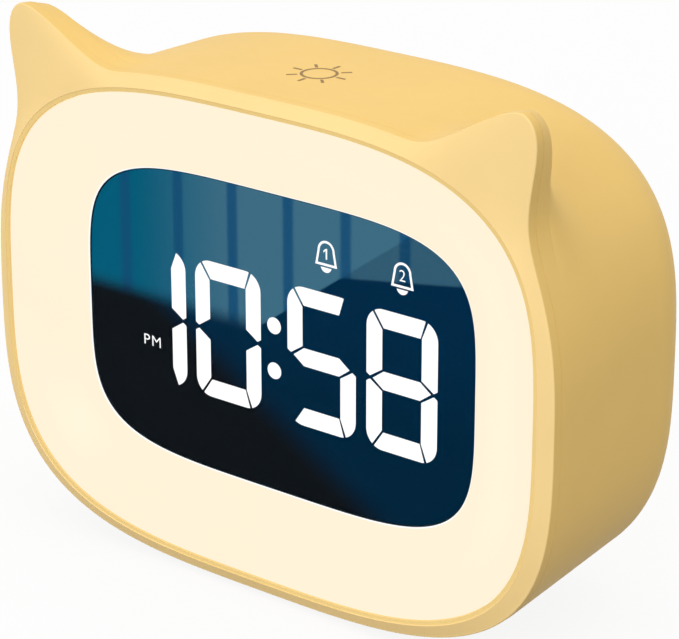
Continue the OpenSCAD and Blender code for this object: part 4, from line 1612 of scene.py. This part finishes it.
@dataclass(frozen=True)
class Signs:
    """The signs beside and above the digits.

    Attributes:
        thick: Thickness.
        bell_places: Middle of each bell's base.
        bell_width: Width of a bell at its base.
        dome_width: Width of a bell at its dome.
        bell_height: Height from the base to the top.
        line: Width of a bell's line.
        clapper_width: Width of the clapper under a bell.
        clapper_height: Height of the clapper.
        clapper_gap: Space between a bell and its clapper.
        letter_inset: How far the outline of a letter is drawn in, as a share of the type size.
        letter_space: Spacing of the letters, where 1 is the type's own.
        bar: Width of the upright bar of the figure 1.
        flag: How far the flag of the figure 1 reaches to the left, and how far it drops.
        flag_line: Upright width of that flag.
    """

    thick: float = 0.02
    bell_places: tuple[Place, ...] = ((12.13, 17.83), (29.08, 17.58))
    bell_width: float = 4.92
    dome_width: float = 3.85
    bell_height: float = 4.72
    line: float = 0.45
    clapper_width: float = 2.45
    clapper_height: float = 0.95
    clapper_gap: float = 0.3
    letter_inset: float = 0.006
    letter_space: float = 1.15
    bar: float = 0.34
    flag: tuple[float, float] = (0.5, 0.42)
    flag_line: float = 0.4

    def build(self) -> None:
        """Models the lettering and both bells."""
        for index, place in enumerate(self.bell_places):
            bell = join(f"bell_sign_{index + 1}", [self._bell(place), self._clapper(place)])
            fit(self._thicken(bell), LIT)
        for sign in SignText:
            lettering = self._one(sign) if sign is SignText.FIRST else self._lettering(sign)
            fit(self._thicken(lettering), LIT)

    def _thicken(self, piece: bpy.types.Object) -> bpy.types.Object:
        """Gives a flat sign its thickness."""
        return modify(piece, "SOLIDIFY", thickness=self.thick * MM, offset=-1)

    def _disc(self, name: str, place: Place, radius: float) -> bpy.types.Object:
        """Adds a flat disc that faces the front."""
        deselect()
        bpy.ops.mesh.primitive_circle_add(
            vertices=48, radius=radius * MM, fill_type="NGON",
            location=DATUM.point(*place, WINDOW.figures_at), rotation=TO_FRONT)
        return added(name)

    def _bell(self, place: Place) -> bpy.types.Object:
        """Models a bell's outline: a half disc, drawn down to a wider base and inset."""
        radius = self.dome_width / 2
        dome_z = place[1] + self.bell_height - radius
        bell = self._disc("bell", (place[0], dome_z), radius)
        middle = DATUM.point(place[0], dome_z, WINDOW.figures_at)

        def lowest(first: Vector, second: Vector) -> bool:
            """Says whether an edge is the straight lower edge of the half disc."""
            return abs(first.z - middle.z) < TINY and abs(second.z - middle.z) < TINY

        with editing(bell):
            bpy.ops.mesh.select_all(action="SELECT")
            bpy.ops.mesh.bisect(plane_co=middle, plane_no=(0, 0, 1), clear_inner=True)
            select_edges(bell, lowest)
            bpy.ops.mesh.extrude_region_move(
                TRANSFORM_OT_translate={"value": (0, 0, (place[1] - dome_z) * MM)})
            flare = self.bell_width / self.dome_width
            bpy.ops.transform.resize(value=(flare, 1, 1), center_override=middle)
            bpy.ops.mesh.select_all(action="SELECT")
            bpy.ops.mesh.dissolve_limited(angle_limit=math.radians(0.5))
            bpy.ops.mesh.select_mode(type="FACE")
            bpy.ops.mesh.select_all(action="SELECT")
            bpy.ops.mesh.inset(thickness=self.line * MM, use_boundary=True, use_even_offset=True)
            bpy.ops.mesh.delete(type="FACE")
        return bell

    def _clapper(self, place: Place) -> bpy.types.Object:
        """Models the clapper under a bell, the lower part of a disc."""
        edge = place[1] - self.clapper_gap
        top = DATUM.point(place[0], edge, WINDOW.figures_at)
        radius = ((self.clapper_width / 2) ** 2 + self.clapper_height ** 2) / (2 * self.clapper_height)
        clapper = self._disc("clapper", (place[0], edge - self.clapper_height + radius), radius)
        with editing(clapper):
            bpy.ops.mesh.select_all(action="SELECT")
            bpy.ops.mesh.bisect(plane_co=top, plane_no=(0, 0, 1), clear_outer=True)
        return clapper

    def _lettering(self, sign: SignText) -> bpy.types.Object:
        """Makes one text a mesh of its real height, in its place."""
        text, height, stretch, (x, z) = sign.value
        deselect()
        bpy.ops.object.text_add(rotation=TO_FRONT)
        made = bpy.context.object
        made.data.body = text
        made.data.align_x = "CENTER"
        made.data.align_y = "CENTER"
        made.data.resolution_u = 6
        made.data.offset = -self.letter_inset
        made.data.space_character = self.letter_space
        bpy.ops.object.convert(target="MESH")
        made.name = f"sign_{sign.name.lower()}"
        settle(made)
        across = [vertex.co.x for vertex in made.data.vertices]
        up = [vertex.co.z for vertex in made.data.vertices]
        scale = height * MM / (max(up) - min(up))
        made.scale = (scale * stretch, scale, scale)
        middle = Vector(((min(across) + max(across)) / 2 * scale * stretch, 0,
                         (min(up) + max(up)) / 2 * scale))
        made.location = DATUM.point(x, z, WINDOW.figures_at) - middle
        return settle(made)

    def _one(self, sign: SignText) -> bpy.types.Object:
        """Models the figure 1: an upright bar whose upper left edge is drawn out to a flag."""
        _, height, _, (x, z) = sign.value
        made = plate(f"sign_{sign.name.lower()}", (x, z), (self.bar, height))
        notch = DATUM.point(x - self.bar / 2, z + height / 2 - self.flag_line, WINDOW.figures_at)

        def upper_left(first: Vector, second: Vector) -> bool:
            """Says whether an edge is the part of the bar's left side above the notch."""
            middle = (first + second) / 2
            return middle.z > notch.z + TINY and abs(middle.x - notch.x) < TINY

        with editing(made):
            bpy.ops.mesh.select_all(action="SELECT")
            bpy.ops.mesh.bisect(plane_co=notch, plane_no=(0, 0, 1))
            select_edges(made, upper_left)
            reach, drop = self.flag
            bpy.ops.mesh.extrude_region_move(
                TRANSFORM_OT_translate={"value": (-reach * MM, 0, -drop * MM)})
        return made


# ---------------------------------------------------------------- housing


# Height and radius of a housing screw's head.
SCREW_HEAD = 2.0
SCREW_HEAD_RADIUS = 2.6
# Width and height of the power switch's knob.
KNOB_SIZE = (4.0, 3.0)


def screw_places() -> list[Place]:
    """Returns the places of the four housing screws."""
    _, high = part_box("housing_screws")
    x, z, _ = DATUM.place(high)
    x, z = x - SCREW_HEAD_RADIUS, z - SCREW_HEAD_RADIUS
    return [(side * x, up * z) for side in (-1, 1) for up in (-1, 1)]


@dataclass(frozen=True)
class Housing:
    """The deep rear shell, with the rear halves of the ears and every opening of its rear wall.

    Attributes:
        lip: Thickness of the lip round the bezel's tongue.
        lip_end: Depth at which the lip ends.
        ear_edge: Rounding of an ear's back edge.
        mouth: Chamfer round each round hole in the rear wall.
        fillet_rings: Number of rings along the fillet behind an ear.
        fillet_crowd: How much closer those rings stand towards the ear, where 1 is evenly.
        side_rings: Number of steps between the fillet and the rear rounding.
        post_radius: Radius of a screw post.
        post_floor: Thickness of a post under the screw's head.
        screw_bore: Radius of the hole for a screw's head.
        button_bore: Radius of the hole for a button.
        knob_travel: Travel of the power switch's knob.
        slack: What a slot is wider and higher than what sits in it.
        inlet: Width and height of the charging inlet.
        pocket_run: How far the cutter of a foot's pocket runs below the floor.
        grille_centre: Middle of the speaker's grille.
        grille_pitch: Distance between the rings of grille holes.
        grille_hole: Radius of a grille hole.
        grille_rings: Number of rings round the middle hole.
    """

    lip: float = 1.2
    lip_end: float = 5.4
    ear_edge: float = 0.6
    mouth: float = 0.25
    fillet_rings: int = 16
    fillet_crowd: float = 1.5
    side_rings: int = 6
    post_radius: float = 4.3
    post_floor: float = 2
    screw_bore: float = 3.0
    button_bore: float = 3.58
    knob_travel: float = 3.0
    slack: float = 0.4
    inlet: tuple[float, float] = (8.94, 3.26)
    pocket_run: float = 1
    grille_centre: Place = (24, 0)
    grille_pitch: float = 3.6
    grille_hole: float = 0.85
    grille_rings: int = 3

    @property
    def inner_wall(self) -> float:
        """Depth of the rear wall's inner face."""
        return BODY.depth - WALL

    def build(self) -> bpy.types.Object:
        """Models the shell and cuts its openings."""
        shell = self._shell()
        carve(shell, self._posts(), "UNION")
        carve(shell, self._cutters())
        return fit(smooth(shell), SHELL, nodes=["rear_housing"])

    def _shell(self) -> bpy.types.Object:
        """Models the bare shell from the inside of the rear wall round to its outside."""
        tube = Tube("rear_shell", BODY.spokes())
        for cos, sin in arc(90, 0, 8):
            inset = WALL + (BODY.round_inset - WALL) * (1 - cos)
            depth = BODY.round_at + (BODY.round_long - WALL) * sin
            tube.ring(depth, BODY.ring(depth, inset))
        tube.ring(self.lip_end, BODY.ring(self.lip_end, WALL))
        tube.ring(self.lip_end, BODY.ring(self.lip_end, self.lip))
        tube.ring(BODY.seam, BODY.ring(BODY.seam, self.lip))
        for cos, sin in arc(90, 0, 2):
            depth = BODY.seam + SEAM_ROUND * (1 - sin)
            tube.ring(depth, BODY.ring(depth, SEAM_ROUND * (1 - cos), 1))
        for cos, sin in arc(0, 90, 5):
            depth = BODY.ear_thick - self.ear_edge * (1 - sin)
            tube.ring(depth, BODY.ring(depth, 0, 1 - self.ear_edge / BODY.ear_rise * (1 - cos)))
        for step in range(1, self.fillet_rings + 1):
            depth = BODY.ear_thick + BODY.ear_fillet * (step / self.fillet_rings) ** self.fillet_crowd
            tube.ring(depth, BODY.ring(depth, 0, 1 - self.ear_edge / BODY.ear_rise))
        start = BODY.ear_thick + BODY.ear_fillet
        for step in range(1, self.side_rings):
            depth = start + (BODY.round_at - start) * step / self.side_rings
            tube.ring(depth, BODY.ring(depth))
        for cos, sin in arc(0, 90, 16):
            depth = BODY.round_at + BODY.round_long * sin
            tube.ring(depth, BODY.ring(depth, BODY.round_inset * (1 - cos)))
        return tube.cap()

    def _posts(self) -> list[bpy.types.Object]:
        """Models the posts that the housing screws go down."""
        front = DATUM.span("housing_screws")[1] - SCREW_HEAD - self.post_floor
        back = self.inner_wall + OVERRUN
        return [rod("post", place, self.post_radius, front, back, 40) for place in screw_places()]

    def _hole(self, at: Place, radius: float, start: float) -> bpy.types.Object:
        """Models the cutter of a round hole with a chamfered mouth."""
        tool = rod("hole", at, radius, start, BODY.depth - self.mouth, 32)
        middle = DATUM.point(*at, 0)
        with editing(tool):
            select_faces(tool, lambda centre, normal: normal.y > FACING)
            overrun = self.mouth + OVERRUN
            bpy.ops.mesh.extrude_region_move(TRANSFORM_OT_translate={"value": (0, overrun * MM, 0)})
            grow = (radius + overrun) / radius
            bpy.ops.transform.resize(value=(grow, 1, grow), center_override=middle)
        return tool

    def _slot(self, at: Place, size: tuple[float, float]) -> bpy.types.Object:
        """Models the cutter of a square slot through the rear wall, wider by the slack."""
        wide, high = size
        grown = (wide + self.slack, high + self.slack)
        return block("slot", at, grown, self.inner_wall - OVERRUN, BODY.depth + OVERRUN)

    def _round_slot(self, at: Place, size: tuple[float, float]) -> bpy.types.Object:
        """Models the cutter of a slot with round ends."""
        tool = self._slot(at, size)
        nearly_half = 0.49 * (min(size) + self.slack)
        with editing(tool):
            select_edges(tool, lambda first, second: abs(first.y - second.y) > WALL * MM)
            bpy.ops.mesh.bevel(offset=nearly_half * MM, segments=10, affect="EDGES")
        return tool

    def _grille_places(self) -> list[Place]:
        """Returns the grille's holes: one in the middle, and six more on each further ring."""
        x, z = self.grille_centre
        places = [(x, z)]
        for ring in range(1, self.grille_rings + 1):
            far = ring * self.grille_pitch
            for index in range(6 * ring):
                turn = math.radians(60 * index / ring)
                places.append((x + far * math.cos(turn), z + far * math.sin(turn)))
        return places

    def _cutters(self) -> list[bpy.types.Object]:
        """Models every cutter of the rear wall."""
        start = self.inner_wall - OVERRUN
        seat = DATUM.span("housing_screws")[1] - SCREW_HEAD
        tools = [self._hole(place, self.screw_bore, seat) for place in screw_places()]
        for number in range(1, 5):
            tools.append(self._hole(DATUM.centre(f"button_{number}"), self.button_bore, start))
        for place in self._grille_places():
            tools.append(self._hole(place, self.grille_hole, start))
        knob_x, knob_z = DATUM.centre("switch_knob")
        knob_wide, knob_high = KNOB_SIZE
        swept = (knob_wide + self.knob_travel, knob_high)
        tools.append(self._slot((knob_x + self.knob_travel / 2, knob_z), swept))
        tools.append(self._round_slot(DATUM.centre("usb_shell"), self.inlet))
        for side in ("left", "right"):
            for end in ("front", "rear"):
                tools.append(self._pocket(f"foot_{end}_{side}"))
        return tools

    def _pocket(self, node: str) -> bpy.types.Object:
        """Models the cutter of a foot's pocket."""
        low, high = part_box(node)
        centre = (low + high) / 2
        run = self.pocket_run * MM
        deselect()
        bpy.ops.mesh.primitive_cylinder_add(
            vertices=64, radius=(high.x - low.x) / 2 + FIT * MM, depth=high.z + run,
            location=(centre.x, centre.y, (high.z - run) / 2))
        return added("pocket")


@dataclass(frozen=True)
class TouchSign:
    """The sun that is printed on top of the housing, over the touch area.

    Attributes:
        depth: Depth of its middle.
        ring: Outer radius of the ring.
        line: Width of every line.
        ray_start: Distance from the middle to the start of a ray.
        ray_end: Distance from the middle to the end of a ray.
        rays: Number of rays.
        thick: Thickness of the ink.
        lift: How far the middle of the ink's thickness stands over the housing.
        clear: How far over the housing the sign is modelled, before it is laid on.
    """

    depth: float = 18
    ring: float = 3.5
    line: float = 0.55
    ray_start: float = 4.0
    ray_end: float = 5.95
    rays: int = 8
    thick: float = 0.03
    lift: float = 0.02
    clear: float = 3

    def build(self, shell: bpy.types.Object) -> bpy.types.Object:
        """Models the ring and its rays flat, and lays them on the housing.

        Args:
            shell: The housing's piece.

        Returns:
            The sign.
        """
        parts = [self._ring()] + [self._ray(index) for index in range(self.rays)]
        sign = join("sun_sign", parts)
        modify(sign, "SHRINKWRAP", target=shell, wrap_method="PROJECT", use_negative_direction=True,
               use_positive_direction=False, use_project_z=True, offset=self.lift * MM)
        modify(sign, "SOLIDIFY", thickness=self.thick * MM, offset=0)
        return fit(smooth(sign), INK)

    def _above(self) -> Vector:
        """Returns the place over the middle of the sign, clear of the housing."""
        return DATUM.point(0, BODY.outline.height / 2 + self.clear, self.depth)

    def _ring(self) -> bpy.types.Object:
        """Models the ring from a disc with an inset middle."""
        deselect()
        bpy.ops.mesh.primitive_circle_add(vertices=64, radius=self.ring * MM, fill_type="NGON",
                                          location=self._above())
        made = added("sun_ring")
        with editing(made):
            bpy.ops.mesh.select_all(action="SELECT")
            bpy.ops.mesh.inset(thickness=self.line * MM, use_boundary=True, use_even_offset=True)
            bpy.ops.mesh.delete(type="FACE")
        return made

    def _ray(self, index: int) -> bpy.types.Object:
        """Models one ray."""
        turn = 2 * math.pi * index / self.rays
        far = (self.ray_start + self.ray_end) / 2 * MM
        deselect()
        bpy.ops.mesh.primitive_plane_add(
            size=1, location=self._above() + Vector((far * math.cos(turn), far * math.sin(turn), 0)),
            rotation=(0, 0, turn))
        return added("sun_ray", ((self.ray_end - self.ray_start) * MM, self.line * MM, 1))


# ---------------------------------------------------------------- rear


@dataclass(frozen=True)
class RearControls:
    """The four buttons and the power switch's knob.

    Attributes:
        button_radius: Radius of a cap.
        flange_radius: Radius of the flange that keeps a cap in.
        flange_thick: Thickness of that flange.
        dish: Depth of the finger dish in a cap.
        dish_steps: Inset of each step into the dish, and the share of its depth that it drops by.
        cap_round: Rounding of a cap's edges.
        knob_under: How far the knob reaches in past the rear wall.
        knob_round: Rounding of the knob's edges.
        grooves: Number of grooves across the knob.
        groove_size: Width and depth of a groove.
        stem: Width of the knob's square stem.
        stem_overlap: How far the stem runs into the knob.
    """

    button_radius: float = 3.5
    flange_radius: float = 4.4
    flange_thick: float = 0.8
    dish: float = 0.25
    dish_steps: tuple[tuple[float, float], ...] = ((0.55, 0.0), (0.8, 0.7), (1.0, 0.3))
    cap_round: float = 0.3
    knob_under: float = 0.8
    knob_round: float = 0.25
    grooves: int = 3
    groove_size: tuple[float, float] = (0.4, 0.3)
    stem: float = 1.5
    stem_overlap: float = 0.4

    def build(self) -> None:
        """Models the four buttons and the knob."""
        for number in range(1, 5):
            cap = self._cap(number)
            fit(smooth(cap), BUTTON, f"button_{number}_body", [f"button_{number}"])
        fit(smooth(self._knob()), KNOB, "power_switch", ["switch_knob"])

    def _cap(self, number: int) -> bpy.types.Object:
        """Models a button's cap with its flange and finger dish."""
        start, end = DATUM.span(f"button_{number}")
        place = DATUM.centre(f"button_{number}")
        cap = rod(f"button_cap_{number}", place, self.flange_radius, start, start + self.flange_thick)
        middle = DATUM.point(*place, 0)
        with editing(cap):
            select_faces(cap, lambda centre, normal: normal.y > FACING)
            shrink = self.button_radius / self.flange_radius
            bpy.ops.mesh.extrude_region()
            bpy.ops.transform.resize(value=(shrink, 1, shrink), center_override=middle)
            rise = (end - start - self.flange_thick) * MM
            bpy.ops.mesh.extrude_region_move(TRANSFORM_OT_translate={"value": (0, rise, 0)})
            for inset, share in self.dish_steps:
                bpy.ops.mesh.inset(thickness=inset * MM)
                bpy.ops.transform.translate(value=(0, -self.dish * share * MM, 0))
            bpy.ops.mesh.select_all(action="SELECT")
            bpy.ops.mesh.remove_doubles(threshold=TINY)
            bpy.ops.mesh.normals_make_consistent(inside=False)
        return round_edges(cap, self.cap_round)

    def _knob(self) -> bpy.types.Object:
        """Models the grooved knob on its stem."""
        start, end = DATUM.span("switch_knob")
        x, z = DATUM.centre("switch_knob")
        wide, high = KNOB_SIZE
        under = BODY.depth - WALL - self.knob_under
        knob = block("power_knob", (x, z), KNOB_SIZE, under, end)
        round_edges(knob, self.knob_round)
        pitch = wide / (self.grooves + 1)
        groove_wide, groove_deep = self.groove_size
        tools = []
        for index in range(self.grooves):
            groove_x = x + (index - (self.grooves - 1) / 2) * pitch
            size = (groove_wide, high + 2 * OVERRUN)
            tools.append(block("groove", (groove_x, z), size, end - groove_deep, end + OVERRUN))
        carve(knob, tools)
        stem = block("stem", (x, z), (self.stem, self.stem), start, under + self.stem_overlap)
        carve(knob, [stem], "UNION")
        return knob


@dataclass(frozen=True)
class Screws:
    """Housing screws with a cross recess.

    Attributes:
        shank_radius: Radius of a shank.
        recess: Length and width of one arm of the cross.
        recess_deep: Depth of the cross.
        recess_run: How far the cutter of the cross runs past the head.
        head_round: Rounding of the head's edges.
        shank_overlap: How far the shank runs into the head.
    """

    shank_radius: float = 1.25
    recess: tuple[float, float] = (3.0, 0.65)
    recess_deep: float = 1.1
    recess_run: float = 1
    head_round: float = 0.4
    shank_overlap: float = 0.2

    def build(self) -> bpy.types.Object:
        """Models the screws of the four posts."""
        start, end = DATUM.span("housing_screws")
        screws = [self._screw(place, start, end) for place in screw_places()]
        piece = join("screw_set", screws)
        return fit(smooth(piece), SCREW, nodes=["housing_screws"])

    def _screw(self, at: Place, start: float, end: float) -> bpy.types.Object:
        """Models one screw, with its head at the rear."""
        under = end - SCREW_HEAD
        screw = rod("screw", at, SCREW_HEAD_RADIUS, under, end, 40)
        round_edges(screw, self.head_round)
        along, across = self.recess
        bottom, past = end - self.recess_deep, end + self.recess_run
        cross = block("cross", at, (along, across), bottom, past)
        carve(cross, [block("arm", at, (across, along), bottom, past)], "UNION")
        carve(screw, [cross])
        shank = rod("shank", at, self.shank_radius, start, under + self.shank_overlap, 32)
        carve(screw, [shank], "UNION")
        return screw


@dataclass(frozen=True)
class Feet:
    """Four rubber feet with a rounded rim and a shallow ring.

    Attributes:
        rim: Rounding of the lower edge.
        ring_inset: Distance from the edge of the sole to its ring.
        ring_width: Width of the slope into the ring.
        ring: Depth of the ring pressed into the sole.
    """

    rim: float = 0.35
    ring_inset: float = 1.4
    ring_width: float = 0.3
    ring: float = 0.2

    def build(self) -> None:
        """Models each foot from its node's box."""
        for end in ("front", "rear"):
            for side in ("left", "right"):
                node = f"foot_{end}_{side}"
                piece = self._foot(f"rubber_{node}", *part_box(node))
                fit(smooth(piece), FOOT, nodes=[node])

    def _foot(self, name: str, low: Vector, high: Vector) -> bpy.types.Object:
        """Models one foot."""
        deselect()
        bpy.ops.mesh.primitive_cylinder_add(vertices=64, radius=(high.x - low.x) / 2,
                                            depth=high.z - low.z, location=(low + high) / 2)
        foot = added(name)
        with editing(foot):
            select_faces(foot, lambda centre, normal: normal.z < -FACING)
            bpy.ops.mesh.inset(thickness=self.ring_inset * MM)
            bpy.ops.mesh.inset(thickness=self.ring_width * MM)
            bpy.ops.transform.translate(value=(0, 0, self.ring * MM))
        return round_edges(foot, self.rim)


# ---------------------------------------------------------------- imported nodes


def dress_nodes() -> None:
    """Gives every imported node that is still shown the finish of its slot."""
    slots = {part["node"]: part["material_slot"] for part in frame["record"]["subparts"]}
    for name, node in frame["nodes"].items():
        if not node.hide_render:
            dress(node, NODE_FINISHES.get(name, SLOT_FINISHES[slots[name]]))
            log.info("%s: packed node", name)


# ---------------------------------------------------------------- studio


@dataclass(frozen=True)
class Lamp:
    """A square soft lamp that points at the clock.

    Attributes:
        name: Name of the lamp.
        direction: Where it stands, seen from the clock.
        distance: Its distance, in metres.
        size: Its width, in metres.
        power: Its power, in watts.
    """

    name: str
    direction: Axes
    distance: float
    size: float
    power: float

    def build(self, target: Vector) -> None:
        """Adds the lamp."""
        deselect()
        away = Vector(self.direction).normalized()
        bpy.ops.object.light_add(type="AREA", location=target + away * self.distance)
        lamp = bpy.context.object
        lamp.name = self.name
        lamp.data.size = self.size
        lamp.data.energy = self.power
        lamp.rotation_euler = away.to_track_quat("Z", "Y").to_euler()


@dataclass(frozen=True)
class Studio:
    """Floor, world, lamps and camera.

    Attributes:
        target: Point that the camera looks at, as its x, z and depth.
        yaw: How far the camera stands to the right of the front, in degrees.
        pitch: How far it looks down, in degrees.
        distance: Its distance from the target, in metres.
        lens: Its focal length, in millimetres.
        sensor: Width of its sensor, in millimetres.
        ambient: Strength of the world's light.
        floor_size: Width of the floor, in metres.
        floor_tone: Tone with which the floor throws light back.
        floor_seen: Tone that the floor shows.
        floor_glow: Share of the floor that shows white by itself, which keeps the shadow faint.
        lamps: The lamps.
    """

    target: Axes = (18.94, 10.78, 0.0)
    yaw: float = 38.46
    pitch: float = 21.04
    distance: float = 0.4994
    lens: float = 151.1
    sensor: float = 36
    ambient: float = 0.84
    floor_size: float = 40
    floor_tone: float = 0.15
    floor_seen: float = 0.97
    floor_glow: float = 0.88
    lamps: tuple[Lamp, ...] = (
        Lamp("front_lamp", (0.15, -1, 0.06), 1.2, 0.9, 10.8),
        Lamp("top_lamp", (0, 0.05, 1), 1.2, 0.9, 0.9),
    )

    def build(self) -> None:
        """Sets up everything round the clock."""
        self._floor()
        self._world()
        for lamp in self.lamps:
            lamp.build(DATUM.point(*self.target))
        self._camera()
        bpy.context.scene.view_settings.view_transform = "Standard"

    def _floor(self) -> None:
        """Adds a floor that shows white, keeps a faint shadow and throws little light back."""
        deselect()
        bpy.ops.mesh.primitive_plane_add(size=self.floor_size)
        floor = bpy.context.object
        floor.name = "floor"
        material = bpy.data.materials.new("floor_paper")
        graph = Graph(material)
        seen = self._seen_directly(graph)
        tone = graph.blend(seen, toned(WHITE, self.floor_tone), toned(WHITE, self.floor_seen))
        paper = graph.node("ShaderNodeBsdfDiffuse", None, {"Color": tone})
        white = graph.node("ShaderNodeEmission", None, {"Color": WHITE, "Strength": 1.0})
        inputs = {0: seen * self.floor_glow, 1: paper.value(), 2: white.value()}
        mixed = graph.node("ShaderNodeMixShader", None, inputs)
        graph.node("ShaderNodeOutputMaterial", None, {"Surface": mixed.value()})
        floor.data.materials.append(material)

    @staticmethod
    def _seen_directly(graph: Graph) -> Socket:
        """Returns 1 for rays that show the background: straight, mirrored or through glass."""
        path = graph.node("ShaderNodeLightPath")
        straight, mirrored = path.value("Is Camera Ray"), path.value("Is Glossy Ray")
        return (straight + mirrored + path.value("Is Transmission Ray")).fade(0.0, 1.0)

    def _world(self) -> None:
        """Fills the world with soft white light, and shows it as white."""
        world = bpy.data.worlds.new("studio")
        bpy.context.scene.world = world
        graph = Graph(world)
        soft = graph.node("ShaderNodeBackground", None, {"Color": WHITE, "Strength": self.ambient})
        white = graph.node("ShaderNodeBackground", None, {"Color": WHITE, "Strength": 1.0})
        inputs = {0: self._seen_directly(graph), 1: soft.value(), 2: white.value()}
        mixed = graph.node("ShaderNodeMixShader", None, inputs)
        graph.node("ShaderNodeOutputWorld", None, {"Surface": mixed.value()})

    def _camera(self) -> None:
        """Adds the camera."""
        deselect()
        turn, tilt = math.radians(self.yaw), math.radians(self.pitch)
        level = math.cos(tilt)
        away = Vector((math.sin(turn) * level, -math.cos(turn) * level, math.sin(tilt)))
        target = DATUM.point(*self.target)
        bpy.ops.object.camera_add(location=target + away * self.distance)
        camera = bpy.context.object
        camera.rotation_euler = away.to_track_quat("Z", "Y").to_euler()
        camera.data.lens = self.lens
        camera.data.sensor_width = self.sensor
        bpy.context.scene.camera = camera


# ---------------------------------------------------------------- main


def main() -> None:
    """Builds the clock's looks, piece by piece, and its studio."""
    logging.basicConfig(level=logging.INFO, format="%(message)s")
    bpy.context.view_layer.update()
    Bezel().build()
    NightPanel().build()
    WINDOW.build()
    Digits().build()
    Signs().build()
    shell = Housing().build()
    TouchSign().build(shell)
    RearControls().build()
    Screws().build()
    Feet().build()
    dress_nodes()
    Studio().build()


if __name__ == "__main__":
    main()
